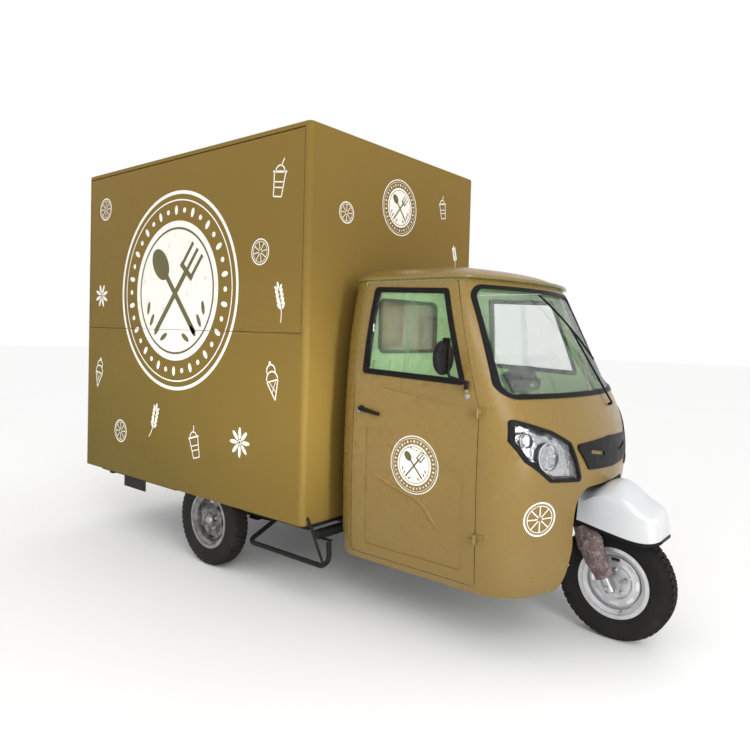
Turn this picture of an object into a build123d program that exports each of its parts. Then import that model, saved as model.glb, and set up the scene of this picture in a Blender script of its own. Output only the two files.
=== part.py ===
from build123d import *
import os
from functools import cache
from math import asin, atan2, cos, degrees, pi, radians, sin, sqrt, tan

os.makedirs("parts", exist_ok=True)

# Three-wheeled food truck, millimetres: +X ahead, +Y to the left, +Z up, ground at Z = 0.
# Distances along the vehicle are given ahead of the box's front face.

# Overall sizes
box_length = 2242
box_width = 1565
box_height = 2063
box_bottom = 410
front_axle_ahead = 1322
rear_axle_behind = 840
tyre_radius = 267
tyre_width = 112
rear_reach = 36
box_front = (box_length + rear_reach - front_axle_ahead - tyre_radius) / 2
box_rear = box_front - box_length
box_top = box_bottom + box_height
box_half = box_width / 2
rear_axle_x = box_front - rear_axle_behind

# Fits
running_gap = 0.05
touch_gap = 0.3
panel_gap = 4

# Box panels
box_wall = 25
post_size = 35
post_radius = 30
roof_edge = 6
seam_above_floor = 985
hatch_gap = 3
hinge_rod_radius = 4
hatch_top_gap = 2
rod_bite = 20
wall_low = box_bottom
wall_high = box_top - box_wall
seam_height = box_bottom + seam_above_floor
hatch_axis_y = box_wall / 2 - box_half
hatch_axis_z = wall_high - hatch_top_gap - box_wall / 2
wheel_box_half = 330
wheel_box_top = 610
wheel_box_inner = 590
wheel_box_skin = 3

# Gas struts of the hatch, measured from the hinge rod
strut_anchor_in = 60
strut_anchor_down = 100
strut_lug_in = 30
strut_lug_down = 520
strut_tube_radius = 11
strut_rod_radius = 5
strut_tube_length = 330
strut_rod_length = 330
strut_pin_radius = 4
strut_eye_radius = 11
strut_eye_width = 12
strut_from_post = 14
strut_neck = 6
strut_floor = 30

# Rear door
rear_door_width = 760
rear_door_sill = 40
rear_door_head = 148
rear_door_height = wall_high - wall_low - rear_door_sill - rear_door_head
rear_hinge_radius = 9
rear_hinge_length = 120
rear_pin_radius = 5
rear_handle_reach = 130
rear_handle_height = 1260
rear_handle_inset = 70
rear_shaft_radius = 8
rear_rose_radius = 20
rear_rose_thick = 8
rear_lever_tall = 24
rear_lever_thick = 14
rear_hinge_leaf = 50
rear_hinge_sheet = 3
rear_hinge_inset = 220

# Worktop
worktop_height = 1320
worktop_depth = 480
worktop_length = 1900
worktop_thick = 30
worktop_leg = 40
worktop_shelf_height = 650
worktop_from_front = 90
worktop_legs = (120, 1200, 1950)
worktop_leg_spread = 210

# Chassis
rail_width = 40
rail_height = 60
rail_offset = 350
rail_low = 330
rail_high = rail_low + rail_height
rail_middle = rail_low + rail_height / 2
rail_rear_behind = 2120
rail_front_ahead = 950
bearer_width = 60
bearer_half = 735
side_rail_width = 40
side_rail_drop = 26
bearer_places = (32, 475, 1205, 1640, 2060)
side_rail_runs = ((-2090, -1175), (-505, -2))
cross_places = (-1335, -345, 180, 640)
rear_bar_half = 640
pylon_spread = 200
pylon_radius = 20
bracket_rear_behind = 1790
bracket_length = 260
bracket_low = 315
plate = 6

# Rear axle and springs
track_half = 694
axle_tube_radius = 27
half_shaft_radius = 14
axle_tube_half = 598
backing_plate_radius = 95
casing_radius = 92
casing_half = 95
motor_radius = 85
motor_length = 230
motor_round = 3
motor_ahead = 172
leaf_thick = 7
leaf_width = 50
leaf_halves = (450, 360, 265, 165)
leaf_sag = 60
spring_eye_radius = 16
spring_pin_radius = 8
clip_thick = 8
clip_radius = 5
stub_length = 210

# Wheels
flange_radius = 166
bead_radius = 152
rim_half = 45
rim_sheet = 4
well_radius = 128
slot_circle = 104
slot_count = 8
drum_radius = 78
hub_radius = 38
tread_groove = 7
tread_place = 17
tread_gap = 6
tyre_wall = 9
slot_length = 44
slot_tall = 15
dish_radius = 116
disc_sheet = 5
drum_wall = 10
drum_shift = 6
hub_out = 32
front_drum_depth = 58
front_hub_half = 72

# Front fork
rake = radians(27.5)
fork_offset = 45
leg_spread = 100
stanchion_radius = 16.5
slider_radius = 23
slider_low = -26
slider_high = 250
slider_floor = 70
slider_edge = 3
stanchion_low = 152
lower_yoke = 368
upper_yoke = 640
yoke_thick = 28
stem_radius = 15
head_tube_radius = 27
stem_top = 985
front_axle_radius = 7.5
sleeve_low = 38
sleeve_high = 296
sleeve_radius = 31.5
sleeve_waist = 28
sleeve_swells = 5
yoke_boss = 30
arm_thick = 14
arm_tall = 18
arm_ahead = 90

# Handlebar
bar_radius = 11
bar_half = 340
bar_sweep = 85
bar_rise = 28
bar_bend = 130
grip_radius = 17
grip_length = 120
clamp_high = 28
clamp_long = 46
clamp_wide = 64
bar_turn = 45

# Mudguard: distance ahead, low edge, half width there, crease height and half width, crown height
mudguard_stations = (
    (1176, 557, 140, 650, 122, 690),
    (1230, 547, 140, 664, 124, 704),
    (1288, 535, 140, 680, 125, 739),
    (1340, 525, 140, 662, 125, 755),
    (1420, 511, 137, 626, 119, 714),
    (1490, 506, 117, 592, 97, 668),
    (1538, 520, 66, 570, 50, 614),
)
mudguard_skin = 4
trim_height = 14
trim_thick = 9
trim_proud = 2
trim_gap = 1

# Cab envelope: height, half width, front of the nose and corner radius at each station
cab_stations = (
    (285, 638, 1235, 220),
    (450, 649, 1254, 220),
    (700, 653, 1267, 220),
    (930, 652, 1268, 220),
    (1060, 647, 1226, 210),
    (1260, 634, 1118, 168),
    (1470, 607, 1005, 124),
    (1690, 562, 886, 88),
)
cab_back = 60
back_corner = 180
nose_radius = 1260
cab_skin = 6
cab_low = 285
cab_top = 1669
sill_top = 314
seam_ahead = 933
seam_knee = 1083
seam_top_ahead = 749
pillar_ahead = 212

# Cab roof
roof_lip_low = 1676
roof_lip_high = 1690
roof_overhang = 14
roof_visor = 34
roof_skin = 6
roof_rise = ((0, 4), (22, 45), (44, 120), (56, 225))
roof_corner = 60

# Windscreen, in front view
screen_low = 1138
screen_high = 1646
screen_low_half = 618
screen_high_half = 540
screen_low_round = 62
screen_high_round = 85
seal_width = 20
seal_proud = 5
seal_depth = 16
glass_out = 5
glass_thick = 5

# Rear window and wall ribs
rear_window_half = 285
rear_window_low = 1295
rear_window_high = 1605
rear_window_round = 48
rib_pitch = 145
rib_width = 75
rib_raise = 7
rib_taper = 30
rib_low = 900
rib_high = 1262
rib_count = 7

# Doors
door_thick = 24
door_round = 26
small_round = 4
window_slope = radians(2)
window_low = 1198
window_rear_low = 261
window_rear_high = 278
window_front_low = 858
window_front_high = 712
window_height = 432
window_round = 20
window_seal_width = 26
pane_thick = 4
fixed_pane_in = 7
sliding_pane_in = 14
pane_split = 512
pane_lap = 16
panel_pressing = 4
panel_points = ((305, 370), (305, 962), (377, 938), (572, 877), (742, 836), (866, 790), (866, 370))
panel_round = 24
handle_ahead = 269
handle_height = 1035
handle_length = 118
handle_shaft = 7
handle_fall = 18
handle_stand = 12
handle_thick = 9
handle_knob = 11
handle_tip = 7
handle_rose = 15
hinge_heights = (527, 1075)
hinge_axis_out = 8
hinge_knuckle = 8
hinge_pin = 4
hinge_tall = 44
hinge_leaf = 40
hinge_sheet = 4

# Mirror
mirror_foot_ahead = 867
mirror_foot_height = 1172
mirror_arm_radius = 6
mirror_out = 100
mirror_back = 52
mirror_up = 138
mirror_width = 138
mirror_tall = 150
mirror_deep = 34
mirror_sleeve = 10
mirror_clamp = 8
mirror_swell = ((-0.5, 0.93), (-0.3, 1), (0.1, 0.97), (0.35, 0.8), (0.5, 0.45))
mirror_pin = 5
mirror_pin_tall = 20
mirror_foot_tall = 14

# Headlamps and grille, in front view
lamp_points = ((606, 1062), (436, 1004), (340, 950), (272, 769), (470, 786), (586, 880), (622, 965))
lamp_round = 18
lamp_bezel = 15
lamp_depth = 46
lamp_from = 1000
lamp_bowl = 62
lamp_bowl_place = (470, 893)
indicator_bowl = 34
indicator_place = (563, 968)
lens_thick = 4
grille_points = ((0, 808), (226, 818), (314, 936), (0, 952))
grille_thick = 9
grille_slot_half = 62
grille_slot_height = 17
grille_slot_place = (150, 888)
grille_slot_tilt = 9
grille_round = 16

# Front wheel arch, in front view
arch_half = 284
arch_top = 735
arch_round = 92
arch_flare_half = 372
arch_flare_top = 470

# Cab inside
floor_level = rail_high + touch_gap
floor_sheet = 5
well_back = 890
well_front = 1170
well_half = 306
well_top = 907
well_sheet = 4
stem_hole = 48
seat_back = 72
seat_front = 560
seat_half = 500
seat_top = 742
seat_box_sheet = 4
seat_box_in = 20
seat_draw = 14
seat_crown = 10
channel_width = 12
channel_depth = 8
channel_count = 3
cushion_thick = 95
cushion_round = 40
backrest_thick = 85
backrest_low = 850
backrest_high = 1115
dash_back = 1060
dash_low = 1068
dash_high = 1092
dash_half = 400
pod_deep = 84
pod_half = 92
pod_tall = 118
pod_up = 16
dial_radius = 40

# Pedal and parking brake
pedal_height = 640
pedal_ahead = 850
pedal_offset = -170
pedal_drop = 160
pedal_back = 62
pedal_wide = 70
pedal_arm = 16
bracket_gap = 0.5
pedal_pin = 6
pedal_toe = 7.2
brake_ahead = 700
brake_offset = 560
brake_length = 290
brake_rise = 70
brake_pin = 6

# Side guards, wiper and tail lamps
guard_radius = 13
guard_half = 730
guard_height = 222
guard_rear = -470
guard_front = 150
guard_end = (96, 680, 332)
guard_bend = 45
guard_anchor = (-490, 375, 352)
outrigger_low = 340
outrigger_high = 380
outrigger_back = 8
outrigger_front = 48
outrigger_half = 705
outrigger_plate = 112
stay_radius = 7
stay_top = (6.7, 748, 455)
stay_foot_ahead = 112
wiper_pivot = (149, 1083)
wiper_clip = (59, 1449)
wiper_blade = ((-119, 1605), (199, 1294))
wiper_spindle = 7
wiper_arm = 5
wiper_out = 20
lamp_width = 150
lamp_height = 62
tail_lamp_deep = 38
tail_lamp_side = 545


def ahead(distance):
    """X of a point given ahead of the box's front face."""
    return box_front + distance


def write(part, name):
    """Label a finished piece and write its file."""
    part.label = name
    export_step(part, f"parts/{name}.step")


def cab_outline(half, front, back, corner, nose, small):
    """Plan outline of the cab: flat back and sides, round corners and an arched nose."""
    nose_x = front - nose
    corner_y = half - corner
    corner_x = nose_x + sqrt((nose - corner) ** 2 - corner_y**2)
    turn = atan2(corner_y, corner_x - nose_x)
    joint_x = nose_x + nose * cos(turn)
    joint_y = nose * sin(turn)
    middle = (turn + pi / 2) / 2
    bulge_x = corner_x + corner * cos(middle)
    bulge_y = corner_y + corner * sin(middle)
    cut = small * (1 - sqrt(0.5))
    Line((back, half - small), (back, small - half))
    ThreePointArc((back, small - half), (back + cut, cut - half), (back + small, -half))
    Line((back + small, -half), (corner_x, -half))
    ThreePointArc((corner_x, -half), (bulge_x, -bulge_y), (joint_x, -joint_y))
    ThreePointArc((joint_x, -joint_y), (front, 0), (joint_x, joint_y))
    ThreePointArc((joint_x, joint_y), (bulge_x, bulge_y), (corner_x, half))
    Line((corner_x, half), (back + small, half))
    ThreePointArc((back + small, half), (back + cut, half - cut), (back, half - small))


@cache
def cab_layer(inset):
    """Solid inside the cab's outer surface moved inwards by the inset."""
    with BuildPart() as layer:
        for height, half, front, corner in cab_stations:
            with BuildSketch(Plane.XY.offset(height)):
                with BuildLine():
                    cab_outline(
                        half - inset,
                        ahead(front) - inset,
                        ahead(cab_back) + inset,
                        corner - inset,
                        nose_radius - inset,
                        back_corner - inset,
                    )
                make_face()
        loft()
    return layer.part


@cache
def cab_wall(outer, inner):
    """Curved wall between two insets of the cab's surface."""
    with BuildPart() as wall:
        add(cab_layer(outer))
        add(cab_layer(inner), mode=Mode.SUBTRACT)
    return wall.part


def station_at(height):
    """Half width, front and corner radius of the cab between its stations."""
    for low, high in zip(cab_stations, cab_stations[1:]):
        if height <= high[0]:
            share = (height - low[0]) / (high[0] - low[0])
            return [a + share * (b - a) for a, b in zip(low[1:], high[1:])]
    return cab_stations[-1][1:]


right_side = Plane.XZ.offset(300)
side_reach = 700
front_view = Plane.YZ.offset(ahead(600))
front_reach = 900
lamp_view = Plane.YZ.offset(ahead(lamp_from))

# Corner posts of the box, with round outer edges and sockets for the hatch's hinge rod
with BuildPart() as box_corner_posts:
    with BuildSketch(Plane.XY.offset(wall_low)):
        for post_x, toward in ((box_front, -1), (box_rear, 1)):
            for post_y, inward in ((-box_half, 1), (box_half, -1)):
                inner_x = post_x + toward * post_size
                inner_y = post_y + inward * post_size
                with BuildLine():
                    edge = ((inner_x, post_y), (post_x, post_y), (post_x, inner_y))
                    FilletPolyline(*edge, radius=post_radius)
                    Polyline((post_x, inner_y), (inner_x, inner_y), (inner_x, post_y))
                make_face()
    extrude(amount=wall_high - wall_low)
    for socket_x in (box_front - post_size, box_rear + post_size):
        with BuildSketch(Plane.YZ.offset(socket_x)):
            with Locations((hatch_axis_y, hatch_axis_z)):
                Circle(hinge_rod_radius + running_gap)
        extrude(amount=rod_bite, both=True, mode=Mode.SUBTRACT)
write(box_corner_posts.part, "box_corner_posts")

# Box roof: one panel over walls and posts, with eased top edges
panel_length = box_length - 2 * post_size
panel_middle = box_front - box_length / 2
with BuildPart() as box_roof:
    with BuildSketch(Plane.XY.offset(wall_high)):
        with Locations((panel_middle, 0)):
            RectangleRounded(box_length, box_width, post_radius)
    extrude(amount=box_wall)
    chamfer(box_roof.faces().sort_by(Axis.Z)[-1].edges(), length=roof_edge)
write(box_roof.part, "box_roof")

# Box floor with the two wheel boxes pressed up out of it
inner_half = box_half - box_wall
wheel_box_wide = inner_half - wheel_box_inner
on_floor = (Align.CENTER, Align.CENTER, Align.MIN)
with BuildPart() as box_floor:
    with Locations((panel_middle, 0, box_bottom)):
        Box(panel_length, 2 * inner_half, box_wall, align=on_floor)
    for side in (-1, 1):
        cover_y = side * (wheel_box_inner + inner_half) / 2
        with Locations((rear_axle_x, cover_y, box_bottom)):
            Box(2 * wheel_box_half, wheel_box_wide, wheel_box_top - box_bottom, align=on_floor)
        with Locations((rear_axle_x, cover_y + side * wheel_box_skin, box_bottom)):
            Box(
                2 * (wheel_box_half - wheel_box_skin),
                wheel_box_wide,
                wheel_box_top - wheel_box_skin - box_bottom,
                align=on_floor,
                mode=Mode.SUBTRACT,
            )
write(box_floor.part, "box_floor")


def flat_wall(plane, middle, width, low, high):
    """Flat box panel standing on a plane, its thickness along the plane's normal."""
    with BuildPart() as wall:
        with BuildSketch(plane):
            with Locations((middle, (low + high) / 2)):
                Rectangle(width, high - low)
        extrude(amount=box_wall)
    return wall.part


# Fixed walls of the box; the serving side is fixed only below the seam
end_width = box_width - 2 * post_size
right_face = Plane.XZ.offset(inner_half)
left_face = Plane.XZ.offset(-box_half)
write(flat_wall(Plane.YZ.offset(box_front - box_wall), 0, end_width, wall_low, wall_high), "box_front_wall")
write(flat_wall(left_face, panel_middle, panel_length, wall_low, wall_high), "box_left_wall")
write(flat_wall(right_face, panel_middle, panel_length, wall_low, seam_height), "box_lower_side")

# Rear wall with the doorway and the middle knuckles of the door's hinges
doorway_low = wall_low + rear_door_sill
doorway_high = wall_high - rear_door_head
rear_hinge_x = box_rear - rear_hinge_radius
rear_hinge_y = rear_door_width / 2
rear_hinge_places = (doorway_low + rear_hinge_inset, doorway_high - rear_hinge_inset)
knuckle_length = rear_hinge_length / 3
with BuildPart() as box_rear_wall:
    add(flat_wall(Plane.YZ.offset(box_rear), 0, end_width, wall_low, wall_high))
    with Locations((box_rear, 0, doorway_low)):
        Box(3 * box_wall, rear_door_width, rear_door_height, align=on_floor, mode=Mode.SUBTRACT)
    for hinge_z in rear_hinge_places:
        with Locations((rear_hinge_x, rear_hinge_y, hinge_z)):
            Cylinder(rear_hinge_radius, knuckle_length)
        with Locations((box_rear - rear_hinge_sheet / 2, rear_hinge_y + rear_hinge_leaf / 2, hinge_z)):
            Box(rear_hinge_sheet, rear_hinge_leaf, knuckle_length)
        with Locations((rear_hinge_x, rear_hinge_y, hinge_z)):
            Cylinder(rear_pin_radius + running_gap, rear_hinge_length, mode=Mode.SUBTRACT)
write(box_rear_wall.part, "box_rear_wall")

# Rear door with its two outer knuckles at each hinge and the bore of the handle's shaft
door_wide = rear_door_width - 2 * panel_gap
rear_handle_y = rear_handle_inset - rear_door_width / 2
with BuildPart() as rear_door:
    with Locations((box_rear + box_wall / 2, 0, doorway_low + panel_gap)):
        Box(box_wall, door_wide, rear_door_height - 2 * panel_gap, align=on_floor)
    for hinge_z in rear_hinge_places:
        for level in (hinge_z - knuckle_length, hinge_z + knuckle_length):
            with Locations((rear_hinge_x, rear_hinge_y, level)):
                Cylinder(rear_hinge_radius, knuckle_length - 2 * touch_gap)
            with Locations((box_rear - rear_hinge_sheet / 2, rear_hinge_y - rear_hinge_leaf / 2, level)):
                Box(rear_hinge_sheet, rear_hinge_leaf, knuckle_length - 2 * touch_gap)
        with Locations((rear_hinge_x, rear_hinge_y, hinge_z)):
            Cylinder(rear_pin_radius + running_gap, rear_hinge_length, mode=Mode.SUBTRACT)
    with BuildSketch(Plane.YZ.offset(box_rear)):
        with Locations((rear_handle_y, rear_handle_height)):
            Circle(rear_shaft_radius + running_gap)
    extrude(amount=box_wall, mode=Mode.SUBTRACT)
write(rear_door.part, "rear_door")

# Lever handle of the rear door on its shaft
with BuildPart() as rear_door_handle:
    with BuildSketch(Plane.YZ.offset(box_rear + box_wall / 2)):
        with Locations((rear_handle_y, rear_handle_height)):
            Circle(rear_shaft_radius)
    extrude(amount=-(box_wall / 2 + rear_reach))
    with BuildSketch(Plane.YZ.offset(box_rear - touch_gap)):
        with Locations((rear_handle_y, rear_handle_height)):
            Circle(rear_rose_radius)
    extrude(amount=-rear_rose_thick)
    with BuildSketch(Plane.YZ.offset(box_rear - rear_reach)):
        with Locations((rear_handle_y + rear_handle_reach / 2, rear_handle_height)):
            SlotOverall(rear_handle_reach + 2 * rear_rose_radius, rear_lever_tall)
    extrude(amount=rear_lever_thick)
write(rear_door_handle.part, "rear_door_handle")

# Serving hatch: its top edge is rounded about the hinge rod, and a lug takes each strut
hatch_low = seam_height + hatch_gap
hatch_length = panel_length - 2 * panel_gap
strut_planes = (box_front - post_size - strut_from_post, box_rear + post_size + strut_from_post)
lug_y = hatch_axis_y + strut_lug_in
lug_z = hatch_axis_z - strut_lug_down
with BuildPart() as serving_hatch:
    with BuildSketch(Plane.YZ.offset(panel_middle)):
        with Locations((hatch_axis_y, hatch_axis_z)):
            Circle(box_wall / 2)
        with Locations((hatch_axis_y, (hatch_axis_z + hatch_low) / 2)):
            Rectangle(box_wall, hatch_axis_z - hatch_low)
        with Locations((hatch_axis_y, hatch_axis_z)):
            Circle(hinge_rod_radius + running_gap, mode=Mode.SUBTRACT)
    extrude(amount=hatch_length / 2, both=True)
    for strut_x, toward in zip(strut_planes, (-1, 1)):
        lug_x = strut_x + toward * (strut_eye_width + touch_gap)
        with BuildSketch(Plane.YZ.offset(lug_x)):
            with Locations((lug_y, lug_z)):
                Circle(strut_eye_radius)
            with Locations(((lug_y + hatch_axis_y) / 2, lug_z)):
                Rectangle(strut_lug_in, 2 * strut_eye_radius)
        extrude(amount=toward * strut_eye_width)
write(serving_hatch.part, "serving_hatch")

# Gas struts: tubes turn on pins in the end posts, rods slide in the tubes
anchor_y = hatch_axis_y + strut_anchor_in
anchor_z = hatch_axis_z - strut_anchor_down
strut_run = Vector(0, lug_y - anchor_y, lug_z - anchor_z)
strut_reach = strut_run.length
strut_along = strut_run.normalized()


def strut_plane(strut_x, distance):
    """Plane square to a strut at a distance from its anchor pin."""
    origin = Vector(strut_x, anchor_y, anchor_z) + strut_along * distance
    return Plane(origin=origin, x_dir=(1, 0, 0), z_dir=strut_along)


with BuildPart() as hatch_strut_tubes:
    for strut_x, toward in zip(strut_planes, (-1, 1)):
        eye_x = strut_x + toward * strut_eye_width / 2
        with BuildSketch(Plane.YZ.offset(strut_x)):
            with Locations((anchor_y, anchor_z)):
                Circle(strut_eye_radius)
        extrude(amount=toward * strut_eye_width)
        with BuildSketch(strut_plane(eye_x, strut_neck)):
            Circle(strut_tube_radius)
        extrude(amount=strut_tube_length - strut_neck)
        with BuildSketch(strut_plane(eye_x, strut_floor)):
            Circle(strut_rod_radius + running_gap)
        extrude(amount=strut_tube_length, mode=Mode.SUBTRACT)
        with BuildSketch(Plane.YZ.offset(strut_x)):
            with Locations((anchor_y, anchor_z)):
                Circle(strut_pin_radius + running_gap)
        extrude(amount=toward * strut_eye_width, mode=Mode.SUBTRACT)
write(hatch_strut_tubes.part, "hatch_strut_tubes")

with BuildPart() as hatch_strut_rods:
    for strut_x, toward in zip(strut_planes, (-1, 1)):
        eye_x = strut_x + toward * strut_eye_width / 2
        with BuildSketch(strut_plane(eye_x, strut_reach - strut_rod_length)):
            Circle(strut_rod_radius)
        extrude(amount=strut_rod_length)
        with BuildSketch(Plane.YZ.offset(strut_x)):
            with Locations((lug_y, lug_z)):
                Circle(strut_eye_radius)
        extrude(amount=toward * strut_eye_width)
write(hatch_strut_rods.part, "hatch_strut_rods")

# Worktop behind the serving side, on legs with a shelf
worktop_middle = ahead(-worktop_from_front - worktop_length / 2)
worktop_y = worktop_depth / 2 + touch_gap - inner_half
cabin_floor = box_bottom + box_wall
leg_height = worktop_height - worktop_thick - cabin_floor
with BuildPart() as worktop:
    with Locations((worktop_middle, worktop_y, worktop_height - worktop_thick)):
        Box(worktop_length, worktop_depth, worktop_thick, align=on_floor)
    fillet(worktop.edges().filter_by(Axis.X).group_by(Axis.Y)[-1], radius=worktop_thick / 3)
    with Locations((worktop_middle, worktop_y, worktop_shelf_height)):
        Box(worktop_length - worktop_leg, worktop_depth - worktop_leg, worktop_thick, align=on_floor)
    for leg_x in worktop_legs:
        for leg_y in (worktop_y - worktop_leg_spread, worktop_y + worktop_leg_spread):
            with Locations((ahead(-leg_x), leg_y, cabin_floor)):
                Box(worktop_leg, worktop_leg, leg_height, align=on_floor)
write(worktop.part, "worktop")

# Subframe under the box: cross bearers, side rails broken at the wheels, and a drop bracket each side
with BuildPart() as box_subframe:
    for place in bearer_places:
        with Locations((ahead(-place), 0, rail_high)):
            Box(bearer_width, 2 * bearer_half, box_bottom - rail_high, align=on_floor)
    for side in (-1, 1):
        side_rail_y = side * (bearer_half - side_rail_width / 2)
        bracket_y = side * (bearer_half - plate / 2)
        for rail_back, rail_ahead in side_rail_runs:
            with Locations((ahead((rail_back + rail_ahead) / 2), side_rail_y, box_bottom)):
                Box(
                    rail_ahead - rail_back,
                    side_rail_width,
                    side_rail_drop,
                    align=(Align.CENTER, Align.CENTER, Align.MAX),
                )
        with Locations((ahead(bracket_length / 2 - bracket_rear_behind), bracket_y, bracket_low)):
            Box(bracket_length, plate, box_bottom - bracket_low, align=on_floor)
write(box_subframe.part, "box_subframe")

# Steering geometry: the fork plane's X points ahead, its Y to the left and its Z up the leg
front_axle_x = ahead(front_axle_ahead)
fork_plane = Plane(
    origin=(front_axle_x, 0, tyre_radius),
    x_dir=(cos(rake), 0, sin(rake)),
    z_dir=(-sin(rake), 0, cos(rake)),
)


def fork_point(forward, left, along):
    """Point given in the fork plane's own directions."""
    return fork_plane.from_local_coords(Vector(forward, left, along))


def rod(start, end, radius):
    """Round bar between two points."""
    run = end - start
    with BuildPart() as bar:
        with BuildSketch(Plane(origin=start, z_dir=run)):
            Circle(radius)
        extrude(amount=run.length)
    return bar.part


# Chassis: hollow rails, cross members, spring hangers, and tubes up to the steering head
rail_length = rail_front_ahead + rail_rear_behind
front_bar_x = ahead(rail_front_ahead) - rail_width / 2
outrigger_x = ahead((outrigger_back + outrigger_front) / 2)
leaf_top = tyre_radius - axle_tube_radius - touch_gap
eye_z = leaf_top + leaf_sag
with BuildPart() as chassis_frame:
    with BuildSketch(Plane.YZ.offset(ahead(-rail_rear_behind))):
        with Locations((-rail_offset, rail_middle), (rail_offset, rail_middle)):
            Rectangle(rail_width, rail_height)
            Rectangle(rail_width - plate, rail_height - plate, mode=Mode.SUBTRACT)
    extrude(amount=rail_length)
    for place in cross_places:
        with Locations((ahead(place), 0, rail_middle)):
            Box(rail_width, 2 * rail_offset - rail_width, rail_height - 2 * plate)
    with Locations((front_bar_x, 0, rail_low)):
        Box(rail_width, 2 * rail_offset + rail_width, rail_height, align=on_floor)
    with Locations((ahead(-rail_rear_behind) - rail_width / 2, 0, rail_low)):
        Box(rail_width, 2 * rear_bar_half, rail_height, align=on_floor)
    for side in (-1, 1):
        with Locations((outrigger_x, side * (rail_offset + outrigger_half) / 2, outrigger_low)):
            Box(
                outrigger_front - outrigger_back,
                outrigger_half - rail_offset,
                outrigger_high - outrigger_low,
                align=on_floor,
            )
        with Locations((ahead((outrigger_back + outrigger_plate) / 2), side * guard_end[1], outrigger_low)):
            Box(outrigger_plate - outrigger_back, 2 * stay_radius + plate, plate, align=on_floor)
        for along in (-leaf_halves[0], leaf_halves[0]):
            for cheek in (-1, 1):
                cheek_y = side * rail_offset + cheek * (leaf_width / 2 + touch_gap + plate / 2)
                with Locations((rear_axle_x + along, cheek_y, eye_z - spring_eye_radius)):
                    Box(2 * spring_eye_radius, plate, rail_low - eye_z + spring_eye_radius, align=on_floor)
            with Locations((rear_axle_x + along, side * rail_offset, rail_low)):
                Box(
                    2 * spring_eye_radius,
                    leaf_width + 2 * (touch_gap + plate),
                    plate,
                    align=(Align.CENTER, Align.CENTER, Align.MAX),
                )
            with BuildSketch(Plane.XZ.offset(-side * rail_offset)):
                with Locations((rear_axle_x + along, eye_z)):
                    Circle(spring_pin_radius)
            extrude(amount=leaf_width / 2 + plate, both=True)
        pylon_foot = Vector(front_bar_x, side * pylon_spread, rail_high - plate)
        pylon_head = fork_point(-fork_offset, side * plate, (lower_yoke + upper_yoke + yoke_thick) / 2)
        add(rod(pylon_foot, pylon_head, pylon_radius))
    with BuildSketch(fork_plane.offset(lower_yoke + yoke_thick + touch_gap)):
        with Locations((-fork_offset, 0)):
            Circle(head_tube_radius)
    extrude(amount=upper_yoke - lower_yoke - yoke_thick - 2 * touch_gap)
    with BuildSketch(fork_plane.offset(lower_yoke)):
        with Locations((-fork_offset, 0)):
            Circle(stem_radius + running_gap)
    extrude(amount=upper_yoke - lower_yoke, mode=Mode.SUBTRACT)
write(chassis_frame.part, "chassis_frame")

# Leaf springs: four leaves a side, bent about one centre, with an eye at each end of the main leaf
leaf_radius = (leaf_halves[0] ** 2 + leaf_sag**2) / (2 * leaf_sag)
with BuildPart() as leaf_springs:
    for side in (-1, 1):
        centre = (rear_axle_x, side * rail_offset, leaf_top + leaf_radius)
        spring_plane = Plane(origin=centre, x_dir=(1, 0, 0), z_dir=(0, -1, 0))
        for layer, half in enumerate(leaf_halves):
            upper = leaf_radius + layer * (leaf_thick + touch_gap)
            turn = degrees(asin(half / upper))
            with BuildSketch(spring_plane):
                with BuildLine():
                    top = CenterArc((0, 0), upper, -90 - turn, 2 * turn)
                    under = CenterArc((0, 0), upper + leaf_thick, -90 - turn, 2 * turn)
                    Line(top @ 0, under @ 0)
                    Line(top @ 1, under @ 1)
                make_face()
            extrude(amount=leaf_width / 2, both=True)
        eyes = [(end * leaf_halves[0], leaf_sag - leaf_radius) for end in (-1, 1)]
        with BuildSketch(spring_plane):
            with Locations(*eyes):
                Circle(spring_eye_radius)
        extrude(amount=leaf_width / 2, both=True)
        with BuildSketch(spring_plane):
            with Locations(*eyes):
                Circle(spring_pin_radius + running_gap)
        extrude(amount=leaf_width / 2, both=True, mode=Mode.SUBTRACT)
write(leaf_springs.part, "leaf_springs")

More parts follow.
